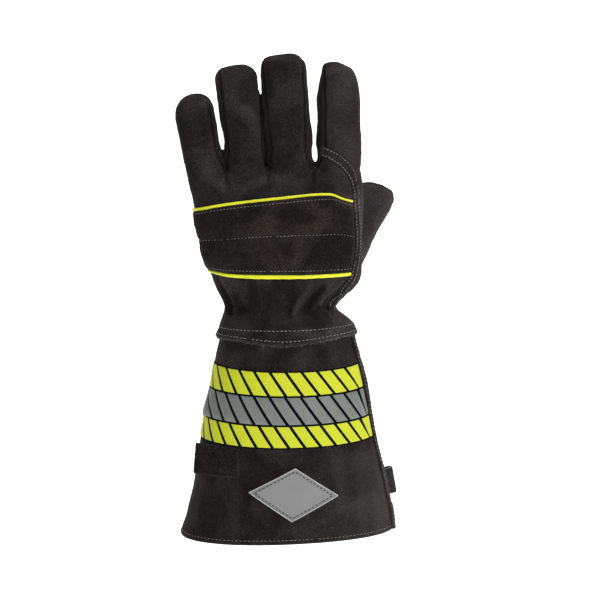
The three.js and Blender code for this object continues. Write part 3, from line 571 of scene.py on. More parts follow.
def closedLoft(rings):
    # rings of points, one after another, closed at both ends
    rows, sides = rings.shape[:2]
    points = np.concatenate([rings.reshape(-1, 3), [rings[0].mean(0), rings[-1].mean(0)]])
    faces = [tuple(face) for face in gridFaces(rows, sides, closed=True)]
    last = (rows - 1) * sides
    for k in range(sides):
        after = (k + 1) % sides
        faces.append((rows * sides, after, k))
        faces.append((rows * sides + 1, last + k, last + after))
    return points, faces


def palmForm(offset, step, sides):
    # with a recess under the hem that takes the cuff's top
    g = glove
    angles = np.arange(sides) * 360 / sides
    levels = np.arange(g["handHem"], g["crotchHeight"] + 0.1, step)
    outer = np.stack([handPoint(angles, np.full(sides, level), offset) for level in levels])
    recess = np.linspace(g["cuffHeight"] + 3, g["handHem"], 8)
    inner = np.stack([handPoint(angles, np.full(sides, level), -g["leather"]) for level in recess])
    return closedLoft(np.concatenate([inner, outer]) if offset == 0 else outer)


def axisAt(name, height):
    root, splay = fingers[name][:2]
    start = glove["palmShift"] + root * glove["palmWidth"] / 2
    return start + (height - glove["knuckleHeight"]) * math.tan(math.radians(splay))


def tipOf(name):
    return glove["knuckleHeight"] + fingers[name][2] * math.cos(math.radians(fingers[name][1]))


def fingerForm(name, offset, step, sides):
    g = glove
    root, splay, length, width, depth, tip, blunt, skew = fingers[name]
    turn = math.radians(splay)
    along, across = np.array((math.sin(turn), 0, math.cos(turn))), np.array((math.cos(turn), 0, -math.sin(turn)))
    start = np.array((g["palmShift"] + root * g["palmWidth"] / 2, 0, g["knuckleHeight"]))
    straight = length - tip
    angles = np.arange(sides) * 360 / sides
    rings = []

    def addRing(distance, wide, deep, aside):
        centre = start + along * distance + across * aside * width
        centre[1] = lean(centre[2])
        halfWidth = max(0.4, width / 2 * wide + offset)
        halfDepth = max(0.4, depth / 2 * deep + offset)
        x, y = ovalPoint(angles, halfWidth, halfDepth, halfDepth, g["fingerPower"])
        for side in (-1, 1):
            trim = np.interp(centre[2], *zip(*fingerTrims[(name, side)])) if (name, side) in fingerTrims else 0
            trim = np.clip(trim, -halfWidth, 0.6 * halfWidth)
            x = x - side * trim * np.clip(x * side / halfWidth, 0, 1) ** 2
        rings.append(centre + x[:, None] * across + y[:, None] * np.array((0, 1, 0)))

    for distance in np.arange(-g["fingerRoot"], straight, step):
        rooted = 1 - g["rootTaper"] * (1 - easeBetween(distance, -g["fingerRoot"], g["fullAbove"]))
        addRing(distance, rooted, rooted, 0)
    for share in np.sin(np.linspace(0, math.pi / 2, 14)):
        wide, deep = (1 - share ** blunt) ** (1 / blunt), math.sqrt(max(0, 1 - share ** 2))
        addRing(straight + (tip + offset) * share, wide, deep, skew * share)
    return closedLoft(np.array(rings))


def thumbForm(offset, sides, rings):
    x0, y0, z0 = thumb["root"]
    length = thumb["length"]
    angles = np.arange(sides) * 360 / sides
    made = []
    for at in 1 - (1 - np.linspace(0, 1, rings)) ** 1.35:
        grow = 1 + offset / length
        aside, behind, risen = length * thumbAcross(at) * grow, length * thumbBehind(at), length * thumbUp(at) * grow
        centre = np.array((x0 + aside, y0 + behind, z0 + risen))
        slope = math.radians(float(thumbTurn(at)))
        across = np.array((math.cos(slope), 0, -math.sin(slope)))
        halfWidth = max(0.4, thumb["width"] / 2 * thumbWide(at) + offset)
        halfDepth = max(0.4, thumb["depth"] / 2 * thumbDeep(at) + offset)
        x, y = ovalPoint(angles, halfWidth, halfDepth, halfDepth, glove["fingerPower"])
        made.append(centre + x[:, None] * across + y[:, None] * np.array((0, 1, 0)))
    last = made[-1]
    middle = last.mean(0)
    for size, rise in ((0.8, 0.5), (0.45, 0.9), (0.1, 1.0)):
        made.append(middle + (last - middle) * size + np.array((0.3, 0, 1.0)) * rise)
    return closedLoft(np.array(made))


def remeshed(parts, size):
    # one even skin over closed forms that overlap; size is in millimetres
    points, faces = gathered(parts)
    mesh = meshFrom("rawForm", points, faces)
    holder = bpy.data.objects.new("rawForm", mesh)
    bpy.context.scene.collection.objects.link(holder)
    change = holder.modifiers.new("even", "REMESH")
    change.mode = "VOXEL"
    change.voxel_size = size * millimetre
    graph = bpy.context.evaluated_depsgraph_get()
    made = bpy.data.meshes.new_from_object(holder.evaluated_get(graph))
    points = np.empty(len(made.vertices) * 3)
    made.vertices.foreach_get("co", points)
    corners = np.empty(len(made.polygons) * 4, int)
    made.loops.foreach_get("vertex_index", corners)
    bpy.data.objects.remove(holder)
    return points.reshape(-1, 3) / millimetre - partShift, corners.reshape(-1, 4)


def neighboursOf(faces, count):
    pairs = np.concatenate([faces[:, [0, 1]], faces[:, [1, 2]], faces[:, [2, 3]], faces[:, [3, 0]]])
    pairs = np.unique(np.sort(pairs, axis=1), axis=0)
    degree = np.bincount(pairs.ravel(), minlength=count)
    return pairs, np.maximum(degree, 1)


def eased(values, pairs, degree, rounds, share=0.5):
    # moves each point, or number, towards the mean of its neighbours
    values = values.copy()
    for i in range(rounds):
        flat = values.reshape(len(degree), -1)
        mean = np.stack([
            np.bincount(pairs[:, 0], flat[pairs[:, 1], k], len(degree))
            + np.bincount(pairs[:, 1], flat[pairs[:, 0], k], len(degree))
            for k in range(flat.shape[1])
        ], axis=-1) / degree[:, None]
        weight = share if np.isscalar(share) else share[:, None]
        values = (flat + (mean - flat) * weight).reshape(values.shape)
    return values


def normalsOf(points, faces):
    a, b, c, d = (points[faces[:, k]] for k in range(4))
    faceNormals = np.cross(c - a, d - b)
    total = np.zeros_like(points)
    for k in range(4):
        for axis in range(3):
            total[:, axis] += np.bincount(faces[:, k], faceNormals[:, axis], len(points))
    return total / np.maximum(np.linalg.norm(total, axis=1), 1e-9)[:, None]


# the hand's leather

handSet = {
    "grain": 0.95,  # size of the skin's quads
    "seamDepth": 0.9, "seamWidth": 0.8, "seamPuff": 0.3,
    "hemAcross": (-56, -48, -38, -29, -20, -12, -4, 5, 14, 23, 32, 41, 50),
    "edgeRise": (3.9, 3.8, 3.2, 2.2, 1.1, 0.2, -0.5, -0.2, 0.8, 2.0, 3.4, 4.8, 5.6),
    "rowRise": (0, 0, 0, 0, 0, 0, 0, 0, 0.2, 0.6, 1.0, 1.5, 1.8),
    "edgeFrom": 151, "rowAt": 161.5, "riseTop": 175,
    "dents": ((26, 0.40, 3), (9, 0.16, 5), (3.2, 0.07, 8)),  # wavelength, depth, seed
}
# folds on the back: points x, z; width; depth (below 0 is a ridge)
foldLines = [
    (((-55, 200), (-51, 192), (-45, 183), (-42, 174)), 2.6, 1.5),
    (((-40, 186), (-38, 180), (-35, 173)), 2.0, 1.2),
    (((-27, 194), (-26.5, 186), (-28, 175)), 3.2, 1.5),
    (((-15, 190), (-14, 182), (-16, 176)), 2.5, 0.8),
    (((4, 188), (3, 182), (1.5, 173)), 2.6, 1.1),
    (((18, 196), (14, 189), (8, 180), (5, 174)), 2.4, -1.1),
    (((27, 192), (20, 185), (17, 179), (22, 170)), 2.6, 1.6),
    (((34, 196), (28, 188), (25, 180)), 2.4, -1.0),
    (((45, 194), (38, 186), (32, 179), (30, 173)), 2.4, 1.7),
    (((-28.7, 287.5), (-28.7, 286.5)), 3.6, 0.8),
    (((2.4, 289.5), (2.4, 288.5)), 4.0, 0.7),
    (((-46, 283), (-45.5, 275), (-44, 268)), 2.6, 1.2),
    (((-13.5, 283), (-13, 275), (-13.5, 268)), 2.6, 1.2),
    (((19.5, 284), (20, 276), (19.5, 268)), 2.6, 1.2),
]

# where a side strip's front seam runs, as a share of the finger's half width: at the web and at the tip
stripSeams = {
    ("little", 1): (0.70, 0.74), ("ring", -1): (0.66, 0.74), ("ring", 1): (0.84, 1.0),
    ("middle", -1): (0.68, 0.84), ("middle", 1): (0.71, 0.89), ("index", -1): (0.60, 0.62),
}

seamZ = np.array([glove["wristHeight"] + up * (glove["crotchHeight"] - glove["wristHeight"]) for _, up in seamRows])
seamX = np.array([glove["palmShift"] + across * glove["palmWidth"] / 2 for across, _ in seamRows])


def seamAcross(height):
    return np.interp(height, seamZ[::-1], seamX[::-1])


def lineDistance(x, z, line):
    # distance in x and z from a line of points
    best = np.full(len(x), 1e9)
    for (ax, az), (bx, bz) in zip(line[:-1], line[1:]):
        dx, dz = bx - ax, bz - az
        t = np.clip(((x - ax) * dx + (z - az) * dz) / (dx * dx + dz * dz), 0, 1)
        best = np.minimum(best, np.hypot(x - ax - t * dx, z - az - t * dz))
    return best


def stripHalf(name, height):
    low = glove["crotchHeight"] - glove["webRise"]
    share = np.clip((height - low) / (tipOf(name) - glove["leather"] - low), 0, 1)
    return glove["sideStrip"] / 2 * (1 - glove["stripTaper"] * share ** 2.4)


def acrossFinger(name, x, z):
    # the place across a finger, as a share of its half width
    root, splay, length, width = fingers[name][:4]
    turn = math.radians(splay)
    distance = (z - glove["knuckleHeight"]) / math.cos(turn)
    rooted = 1 - glove["rootTaper"] * (1 - easeBetween(distance, -glove["fingerRoot"], glove["fullAbove"]))
    return (x - axisAt(name, z)) * math.cos(turn) / (width / 2 * rooted)


fingerNames = list(fingers)
handForms = [palmForm(0, 1.5, 180)] + [fingerForm(name, 0, 1.5, 72) for name in fingerNames]
thumbParts = [thumbForm(0, 72, 60)]
skinPoints, skinFaces = remeshed(handForms + thumbParts, handSet["grain"])
skinPairs, skinDegree = neighboursOf(skinFaces, len(skinPoints))
report("hand remeshed, points: " + str(len(skinPoints)))

handTree, thumbTree = treeOf(handForms), treeOf(thumbParts)
nearThumb = (skinPoints[:, 0] > 15) & (skinPoints[:, 2] > 180) & (skinPoints[:, 2] < 285)
ofThumb = np.zeros(len(skinPoints))
thumbEdge = np.zeros(len(skinPoints))
for i in np.nonzero(nearThumb)[0]:
    spot = Vector(skinPoints[i])
    toThumb, toHand = thumbTree.find_nearest(spot)[3], handTree.find_nearest(spot)[3]
    ofThumb[i] = toThumb < toHand
    thumbEdge[i] = math.exp(-(((toThumb + toHand) / 3.5) ** 2))

x, y, z = skinPoints.T
webs = np.zeros(len(skinPoints))
for name, nextName in zip(fingerNames[:-1], fingerNames[1:]):
    between = (axisAt(name, z) + axisAt(nextName, z)) / 2
    webs += np.exp(-(((x - between) / 7) ** 2)) * np.exp(-(((z - 276) / 13) ** 2))
joints = np.clip(0.12 + webs + thumbEdge * nearThumb, 0, 1) * 0.5
hemKept = easeBetween(z, 151, 154)
skinPoints = eased(skinPoints, skinPairs, skinDegree, 10, joints * hemKept)

x, y, z = skinPoints.T
normals = normalsOf(skinPoints, skinFaces)
side = y - lean(z)
groove = np.zeros(len(skinPoints))
puff = np.zeros(len(skinPoints))
stripOf = np.full(len(skinPoints), -1)


def addSeam(distance, where):
    global groove, puff
    width = handSet["seamWidth"]
    groove = np.maximum(groove, where * np.exp(-((distance / width) ** 2)))
    puff = np.maximum(puff, where * np.exp(-(((np.abs(distance) - 2.6) / 1.7) ** 2)))


for i, (name, nextName) in enumerate(zip(fingerNames[:-1], fingerNames[1:])):
    low = glove["crotchHeight"] - glove["webRise"]
    for one, sign in ((name, 1), (nextName, -1)):
        half = stripHalf(one, z)
        middle = (axisAt(name, z) + axisAt(nextName, z)) / 2
        inside = ((x - axisAt(one, z)) * sign > 0) & ((middle - x) * sign > -0.5) & (z > low - 4)
        atWeb, atTip = stripSeams[(one, sign)]
        share = mix(atWeb, atTip, np.clip((z - low) / (tipOf(one) - 8 - low), 0, 1))
        share = mix(acrossFinger(one, middle, z) * sign, share, easeBetween(z, low, low + 24))
        past = acrossFinger(one, x, z) * sign - share
        distance = past * fingers[one][3] / 2 / np.clip(-normals[:, 1], 0.4, 1)
        fade = easeBetween(z, low - 4, low + 1) * (1 - easeBetween(z, tipOf(one) - 7, tipOf(one) - 3))
        addSeam(distance, inside * fade * (normals[:, 1] < 0.3))
        addSeam(side - half, inside * fade * (normals[:, 1] > -0.3))
        stripOf[inside & (past > 0) & (side < half) & (z > low)] = i

tips = np.zeros(len(skinPoints))
for name in fingerNames:
    tips = np.maximum(tips, (np.abs(x - axisAt(name, z)) < 14) * easeBetween(z, tipOf(name) - 12, tipOf(name) - 3))
outerEdge = ((x < axisAt("little", z)) | (x > axisAt("index", z))) & (z > glove["wristHeight"] + 6)
addSeam(side, (outerEdge | (tips > 0.3)) * (1 - ofThumb) * 0.9)
thumbLine = y - (thumb["root"][1] + thumb["length"] * 0.24)
addSeam(thumbLine - (z - 230) * 0.12, ofThumb * (x > 45) * 0.9)


def hemRise(across, height):
    # how far the raw edge, and the hem's upper row of stitches, climb towards the two sides
    edge = np.interp(across, handSet["hemAcross"], handSet["edgeRise"])
    row = np.interp(across, handSet["hemAcross"], handSet["rowRise"])
    low, high = handSet["edgeFrom"], handSet["rowAt"]
    share = np.clip((height - low) / (high - low), 0, 1)
    return (edge * (1 - share) + row * share) * (1 - easeBetween(height, high, handSet["riseTop"]))


fold = np.zeros(len(skinPoints))
onBack = easeBetween(-normals[:, 1], 0.05, 0.4)
for line, width, depth in foldLines:
    fold += depth * np.exp(-((lineDistance(x, z, line) / width) ** 2)) * onBack

fold *= 1.3
moved = -handSet["seamDepth"] * groove + handSet["seamPuff"] * puff - fold
for length, depth, seed in handSet["dents"]:
    moved += depth * 0.5 * waves(skinPoints, length, seed)
moved -= 0.35 * np.exp(-(((z - 158) / 1.3) ** 2)) * onBack  # pulled in under the hem's stitches
hem = 1 - easeBetween(z, 150.4, 153)
angleNow = np.degrees(np.arctan2(y, x))
ragged = 0.45 * waves(stacked(angleNow, 0, 0), 7, 12) + 0.25 * waves(skinPoints, 2.2, 13)
skinPoints = skinPoints + normals * (moved * (1 - hem))[:, None]
skinPoints[:, 2] += hem * ragged * (z < 153)
unraised = skinPoints[:, 2].copy()
skinPoints[:, 2] += hemRise(skinPoints[:, 0], unraised)

wearAndPaintedLight = np.clip(-fold * 0.35, 0, 0.5) + 0.55 * np.exp(-(((z - 150.6) / 1.5) ** 2)) + 0.22 * puff
# painted light: paler towards the index and on the thumb, as lit from the right, and a painted highlight on the
# fingertips' fronts
pale = 0.46 * easeBetween(x, 22, 46) + 0.2 * ofThumb + 0.28 * tips * easeBetween(-normals[:, 1], 0, 0.8)
wearAndPaintedLight = np.clip(wearAndPaintedLight + pale + 0.1 * waves(skinPoints, 40, 21), 0, 0.9)
# painted shade: sides turned away from the light are darkened, the left-facing sides most
turned = 0.6 * easeBetween(-normals[:, 0], 0.1, 0.8) + 0.45 * easeBetween(normals[:, 0], 0.35, 0.9) * (x < 40)
# painted shade on each finger: darker towards both sides, the left side more, so it reads as round
for name in fingerNames:
    across = acrossFinger(name, x, z)
    reach = (np.abs(across) < 1.1) * easeBetween(z, 268, 292) * (1 - easeBetween(z, tipOf(name) - 16, tipOf(name) - 3))
    roundShade = 0.62 * easeBetween(-across, 0.05, 0.95) + 0.38 * easeBetween(across, 0.5, 0.98)
    turned = np.maximum(turned, reach * roundShade * (x < 60))
turned *= easeBetween(z, 255, 285) * (1 - easeBetween(normals[:, 2], 0.1, 0.6)) * (1 - ofThumb)
# painted shade in all: the seam grooves, the folds and the sides turned from the light
paintedShade = np.clip(0.65 * groove + 0.28 * np.clip(fold, 0, 2) + turned, 0, 0.8)

centres = skinPoints[skinFaces].mean(axis=1)
normals = normalsOf(skinPoints, skinFaces)
faceNormals = normals[skinFaces].mean(axis=1)
ceiling = (np.abs(unraised[skinFaces].mean(axis=1) - glove["cuffHeight"] - 3) < 1.2) & (faceNormals[:, 2] < -0.55)
thumbFaces = ofThumb[skinFaces].mean(axis=1) > 0.5
faceSide = centres[:, 1] - lean(centres[:, 2])
stripFaces = stripOf[skinFaces].max(axis=1)
betweenTwo = (axisAt("middle", centres[:, 2]) + axisAt("index", centres[:, 2])) / 2
past = np.where(centres[:, 2] > seamZ[0], betweenTwo, seamAcross(centres[:, 2]))
# numbers as in handPieces below, from 0: back, index cover, palm, thumb, then the side strips
label = np.where(faceSide < 0, np.where((centres[:, 0] > past) & (centres[:, 2] > seamZ[-1]), 1, 0), 2)
label = np.where(stripFaces >= 0, 4 + stripFaces, label)
label = np.where(thumbFaces, 3, label)
label[ceiling] = -1
handPieces = [
    ("handBack", "hand_back", "back_leather"),
    ("indexCover", "index_cover", "back_leather"),
    ("handPalm", "hand_palm", "palm_leather"),
    ("thumbStall", "thumb", "palm_leather"),
    ("sideStripLittleRing", "side_strip_little_ring", "side_leather"),
    ("sideStripRingMiddle", "side_strip_ring_middle", "side_leather"),
    ("sideStripMiddleIndex", "side_strip_middle_index", "side_leather"),
]
for number, (pieceName, nodeName, slotName) in enumerate(handPieces):
    chosen = skinFaces[label == number]
    used, corners = np.unique(chosen, return_inverse=True)
    mesh = meshFrom(pieceName, skinPoints[used], corners.reshape(-1, 4))
    # wear and painted light, for the finish to read
    paint(mesh, "wearAndPaintedLight", wearAndPaintedLight[used])
    # painted shade, for the finish to read
    paint(mesh, "groove", paintedShade[used])
    addPiece(pieceName, mesh, handSuede, [nodeName], sharp=0)
    mesh.normals_split_custom_set_from_vertices(normals[used].tolist())
report("hand dressed")

skinTree = BVHTree.FromPolygons(skinPoints.tolist(), skinFaces.tolist())

# the lining inside, seen through the cuff's mouth

liningSet = {"inside": -2.9, "grain": 2.6}
liningForms = [palmForm(liningSet["inside"], 3, 90)]
liningForms += [fingerForm(name, liningSet["inside"], 3, 36) for name in fingerNames]
liningForms += [thumbForm(liningSet["inside"], 36, 30)]
liningPoints, liningFaces = remeshed(liningForms, liningSet["grain"])
kept = liningPoints[liningFaces].mean(axis=1)[:, 2] > glove["handHem"] + 2.0
used, corners = np.unique(liningFaces[kept][:, ::-1], return_inverse=True)
addPiece("lining", meshFrom("lining", liningPoints[used], corners.reshape(-1, 4)), liningKnit)
report("lining made")

# stitches

# at, size, drop
threadRows = [
    (0, 0.3, 0.5), (0.08, 0.8, 0.2), (0.25, 1, 0.04), (0.5, 1, 0), (0.75, 1, 0.04), (0.92, 0.8, 0.2), (1, 0.3, 0.5),
]


def capsule(length, thick, sides=6):
    # a short thread lying along X, its two ends turned down
    turn = np.arange(sides) * 2 * math.pi / sides
    rings = []
    for at, size, drop in threadRows:
        high = np.sin(turn) * size * thick * 0.42 - drop * thick
        rings.append(stacked((at - 0.5) * length, np.cos(turn) * size * thick / 2, high))
    return closedLoft(np.array(rings))


def evenly(path, pitch):
    # points at an even pitch on a path, with the directions there
    places = reached(path)
    count = max(2, int(places[-1] / pitch))
    wanted = (np.arange(count) + 0.5) * places[-1] / count
    spots, ahead, behind = (
        np.stack([np.interp(wanted + step, places, path[:, k]) for k in range(3)], axis=-1)
        for step in (0, 0.3, -0.3)
    )
    return spots, ahead - behind


def stitchRow(path, outward, look, wobble=0.12, missing=0.0):
    # outward gives the surface's direction at each of the path's points
    path, outward = np.asarray(path, float), np.asarray(outward, float)
    steps = reached(path)
    spots, directions = evenly(path, look["pitch"])
    parts = []
    for spot, direction, place in zip(spots, directions, reached(spots) + look["pitch"] / 2):
        if chance.rand() < missing:
            continue
        up = unit(np.array([np.interp(place, steps, outward[:, k]) for k in range(3)]))
        ahead = direction + chance.normal(size=3) * wobble * np.linalg.norm(direction)
        ahead = unit(ahead - up * (ahead @ up))
        points, faces = capsule(look["length"] * chance.uniform(0.85, 1.08), look["thick"] * chance.uniform(0.85, 1.12))
        frameNow = np.stack([ahead, np.cross(up, ahead), up])
        parts.append((points @ frameNow + spot + up * look["thick"] * 0.12, faces))
    return parts


# the padded knuckle guard

guardSet = {
    "foot": 203, "top": 250, "arch": 12.5, "droop": 2.2, "pad": 3.2, "from": 181, "to": 342,
    "stripWidth": 6, "columns": 190, "rows": 90,
    "seam": 0.49,  # share of its height below the middle seam
    "seamAcross": (0, 0.12, 0.3, 0.47, 0.62, 0.8, 1),
    "seamHeight": (227.5, 227.9, 229.3, 231.6, 233.2, 233.6, 229.5),
    "endSlopes": (4.5, 11),  # how fast it swells from its left and right end
    "stitchRows": (0.05, 0.488, 0.955), "stitch": {"pitch": 2.7, "length": 1.8, "thick": 0.42},
    "wrinkle": 0.28, "wrinklePitch": 5.5, "fill": 0.5,
}
# rays to the skin start this far above it, reach this far, and it counts as no lower than this
raySet = {"above": 14, "reach": 20, "lowest": -0.6}


def guardHigh(u):
    return guardSet["top"] + guardSet["arch"] * guardRise(u)


def guardLow(u):
    return guardSet["foot"] + guardSet["droop"] * (1 - guardSag(u))


def endAngle(height):
    # where the guard meets the seam strip, in degrees
    angles = np.linspace(290, 359, 200)
    wanted = seamAcross(height) - guardSet["stripWidth"] / 2 - 0.3
    return float(np.interp(wanted, handPoint(angles, np.full(200, height), 0)[:, 0], angles))


guardAngles = {}


def guardAngle(u, height):
    # the table's places run to "to"; the guard is cut off earlier, at the strip
    key = round(float(height), 1)
    if key not in guardAngles:
        guardAngles[key] = endAngle(key)
    return mix(guardSet["from"], guardAngles[key], u)


def tableShare(angle):
    return (angle - guardSet["from"]) / (guardSet["to"] - guardSet["from"])


def riseAt(base, out, above, reach):
    # how far the dressed skin stands above a point, along a direction
    hit = skinTree.ray_cast(Vector(base + out * above), Vector(-out), reach)
    return above - hit[3] if hit[0] is not None else 0


def onSkin(angle, height, lift):
    # a point at a lift above the dressed skin, and the direction out of it
    base = handPoint(np.array([angle]), np.array([height]), 0)[0]
    further = handPoint(np.array([angle]), np.array([height]), 5)[0]
    out = unit(further - base)
    rise = riseAt(base, out, raySet["above"], raySet["reach"])
    return base + out * (max(rise, raySet["lowest"]) + lift), out


def skinRise(angles, heights):
    # how far the dressed skin stands out from the plain form, smoothed
    base = handPoint(angles, heights, 0)
    out = unit(handPoint(angles, heights, 5) - base)
    rises = np.zeros(angles.shape)
    for index in np.ndindex(angles.shape):
        rises[index] = max(riseAt(base[index], out[index], raySet["above"], raySet["reach"]), raySet["lowest"])
    for i in range(6):
        padded = np.pad(rises, 1, mode="edge")
        rises = (padded[:-2, 1:-1] + padded[2:, 1:-1] + padded[1:-1, :-2] + padded[1:-1, 2:] + 2 * rises) / 6
    return rises


def stitchLineAt(share):
    # height of the guard's middle row of stitches, by the share of the way across
    return np.interp(share, guardSet["seamAcross"], guardSet["seamHeight"])


u = np.linspace(0, 1, guardSet["columns"])
v = np.linspace(0, 1, guardSet["rows"])
seam = guardSet["seam"]
heights = np.zeros((len(v), len(u)))
angles = np.zeros_like(heights)
for i, across in enumerate(u):
    for step in range(3):
        share = across if step == 0 else tableShare(angles[len(v) // 2, i])
        low, high, middle = float(guardLow(share)), float(guardHigh(share)), float(stitchLineAt(share))
        heights[:, i] = np.where(v < seam, mix(low, middle, v / seam), mix(middle, high, (v - seam) / (1 - seam)))
        angles[:, i] = [guardAngle(across, level) for level in heights[:, i]]
rises = skinRise(angles, heights)
channel = np.where(v < seam, v / seam, (v - seam) / (1 - seam))[:, None]
leftSlope, rightSlope = guardSet["endSlopes"]
ends = np.minimum(1, np.minimum(u * leftSlope, (1 - u) * rightSlope))[None, :]
swell = np.clip(np.sin(math.pi * channel), 0, 1) ** 0.62 * (ends * (2 - ends))
flat = handPoint(angles, heights, 0)
away = unit(handPoint(angles, heights, 5) - flat)
seamNear = np.exp(-((channel * 24) / 5.5) ** 2) + np.exp(-(((1 - channel) * 24) / 5.5) ** 2)
arc = u[None, :] * 150
pucker = np.sin(arc * 2 * math.pi / guardSet["wrinklePitch"] + 1.4 * waves(flat, 23, 31)) * waves(flat, 17, 32)
top = 0.3 + 1.3 * (0.35 + 0.65 * easeBetween(u, 0, 0.09))[None, :] + guardSet["pad"] * swell
top = top + guardSet["wrinkle"] * seamNear * pucker * swell ** 0.5
top += 0.3 * waves(flat, 34, 33) * swell + 0.10 * waves(flat, 8, 34) + 0.04 * waves(flat, 3, 35)
edge = np.minimum(1, np.minimum(v * 45, (1 - v) * 45))[:, None]
top -= 0.7 * (1 - edge) ** 2
guardOuter = flat + away * (rises + top)[..., None]
guardInner = flat + away * (rises + 0.05)[..., None]
mesh = meshFrom("knuckleGuard", *slab(guardInner, guardOuter))
# painted shade along the guard's middle row of stitches, where it dips
paintOuter(mesh, "groove", 0.55 * np.exp(-((v - seam) * 90) ** 2)[:, None] * np.ones_like(heights))
paintOuter(mesh, "wearAndPaintedLight", 0.3 * np.clip(seamNear * pucker, 0, 1))
guard = addPiece("knuckleGuard", mesh, guardSuede, ["knuckle_guard"], sharp=50)
report("guard made")


def guardLine(row):
    # a line along the guard's outer face, at a share of its height
    place = row * (len(v) - 1)
    low = int(place)
    share = place - low
    after = min(low + 1, len(v) - 1)
    return guardOuter[low] * (1 - share) + guardOuter[after] * share, away[low]


guardStitches = []
for row in guardSet["stitchRows"]:
    line, outward = guardLine(row)
    guardStitches += stitchRow(line[2:-1], outward[2:-1], guardSet["stitch"], wobble=0.2, missing=0.04)
addParts("guardStitches", guardStitches, paleThread)

# the two pipings

pipingSet = {
    "upper": {"wide": ((0, 0.3, 0.6, 0.8, 1), (2.6, 2.3, 2.2, 2.0, 1.8)), "side": 1, "tall": 1.8},
    "lower": {"wide": ((0, 0.15, 0.35, 0.55, 0.8, 1), (1.5, 1.9, 2.7, 3.2, 2.8, 2.6)), "side": -1, "tall": 1.9},
    "sides": 18,
}


def addPipingCord(pieceName, nodeName, look, edgeRow):
    turn = np.arange(pipingSet["sides"]) * 2 * math.pi / pipingSet["sides"]
    rings = []
    for i, across in enumerate(u):
        width = np.interp(across, *look["wide"])
        level = heights[edgeRow, i] + look["side"] * (width / 2 + 0.1)
        angle = guardAngle(across, level)
        spot, out = onSkin(angle, level, 0.15)
        ahead = unit(guardOuter[edgeRow, min(i + 1, len(u) - 1)] - guardOuter[edgeRow, max(i - 1, 0)])
        upward = unit(np.cross(ahead, out))
        if upward[2] < 0:
            upward = -upward
        tall = look["tall"] * (0.75 + 0.25 * width / 3)
        wide, high = np.cos(turn) * width / 2, np.sin(turn) * tall / 2 + tall * 0.42
        rings.append(spot + upward * wide[:, None] + out * high[:, None])
    rings = np.array(rings)
    for k in range(8):
        padded = np.pad(rings, ((1, 1), (0, 0), (0, 0)), mode="edge")
        rings[1:-1] = ((padded[:-2] + padded[2:] + 2 * rings) / 4)[1:-1]
    points, faces = closedLoft(rings)
    points = points + 0.07 * waves(points, 6, 51)[:, None] * np.array((0, 1, 0.6))
    addPiece(pieceName, meshFrom(pieceName, points, faces), pipingVinyl, [nodeName], sharp=60)


addPipingCord("pipingUpper", "piping_upper", pipingSet["upper"], len(v) - 1)
addPipingCord("pipingLower", "piping_lower", pipingSet["lower"], 0)
report("pipings made")

# the seam strip with its two rows of stitches

stripSet = {"width": 6.0, "thick": 1.25, "rows": 230, "columns": 13, "stitch": 2.05, "last": 12}
stripThread = {"pitch": 2.6, "length": 1.9, "thick": 0.45}


def smoothLine(points, count):
    # a curve through points, taken at even steps
    points = np.asarray(points, float)
    places = reached(points)
    wanted = np.linspace(0, places[-1], count)
    made = []
    for k in range(points.shape[1]):
        slopes = np.gradient(points[:, k], places)
        i = np.clip(np.searchsorted(places, wanted, side="right") - 1, 0, len(places) - 2)
        span = places[i + 1] - places[i]
        s = (wanted - places[i]) / span
        keep, gain = (1 + 2 * s) * (1 - s) ** 2, s * s * (3 - 2 * s)
        leave, arrive = s * (1 - s) ** 2 * span, s * s * (s - 1) * span
        made.append(points[i, k] * keep + points[i + 1, k] * gain + slopes[i] * leave + slopes[i + 1] * arrive)
    return np.stack(made, axis=-1)


def towardsSkin(x, z):
    # the skin's point behind a place of the front view
    hit = skinTree.ray_cast(Vector((x, -120, z)), Vector((0, 1, 0)), 240)
    return (np.array(hit[0]), np.array(hit[1])) if hit[0] is not None else (None, None)


stripLine = smoothLine(list(zip(seamX[:stripSet["last"]], seamZ[:stripSet["last"]])), stripSet["rows"])
spots, outs = [], []
for lineX, lineZ in stripLine:
    spot, out = towardsSkin(lineX, lineZ)
    while spot is None:
        lineX -= 0.5
        spot, out = towardsSkin(lineX, lineZ)
    spots.append(spot)
    outs.append(out)
spots, outs = np.array(spots), np.array(outs)
for i in range(14):
    spots[1:-1] = (spots[:-2] + spots[2:] + 2 * spots[1:-1]) / 4
    outs[1:-1] = (outs[:-2] + outs[2:] + 2 * outs[1:-1]) / 4
outs = unit(outs)
acrossStrip = unit(np.cross(unit(np.gradient(spots, axis=0)), outs))
places = np.linspace(-1, 1, stripSet["columns"]) * stripSet["width"] / 2
widen = 1 + 0.3 * easeBetween(spots[:, 2], 268, 288)
stripInner = np.zeros((len(spots), len(places), 3))
for i in range(len(spots)):
    for j, place in enumerate(places):
        base = spots[i] + acrossStrip[i] * (place * widen[i])
        stripInner[i, j] = base + outs[i] * max(riseAt(base, outs[i], 7, 16), -2.5)
for i in range(3):
    stripInner[1:-1] = (stripInner[:-2] + stripInner[2:] + 2 * stripInner[1:-1]) / 4
edge = 1 - np.abs(places / (stripSet["width"] / 2)) ** 8
stitched = np.exp(-((np.abs(places) - stripSet["stitch"]) / 0.5) ** 2)
lift = 0.3 + stripSet["thick"] * (0.35 + 0.65 * edge) - 0.3 * stitched
lift = lift[None, :] + 0.12 * waves(stripInner, 7, 61) + 0.05 * waves(stripInner, 2.5, 62)
stripOuter = stripInner + outs[:, None, :] * lift[..., None]
points, faces = slab(stripInner, stripOuter)
if np.dot(np.cross(stripOuter[5, 6] - stripOuter[5, 5], stripOuter[6, 5] - stripOuter[5, 5]), outs[5]) < 0:
    faces = faces[:, ::-1]
mesh = meshFrom("seamStrip", points, faces)
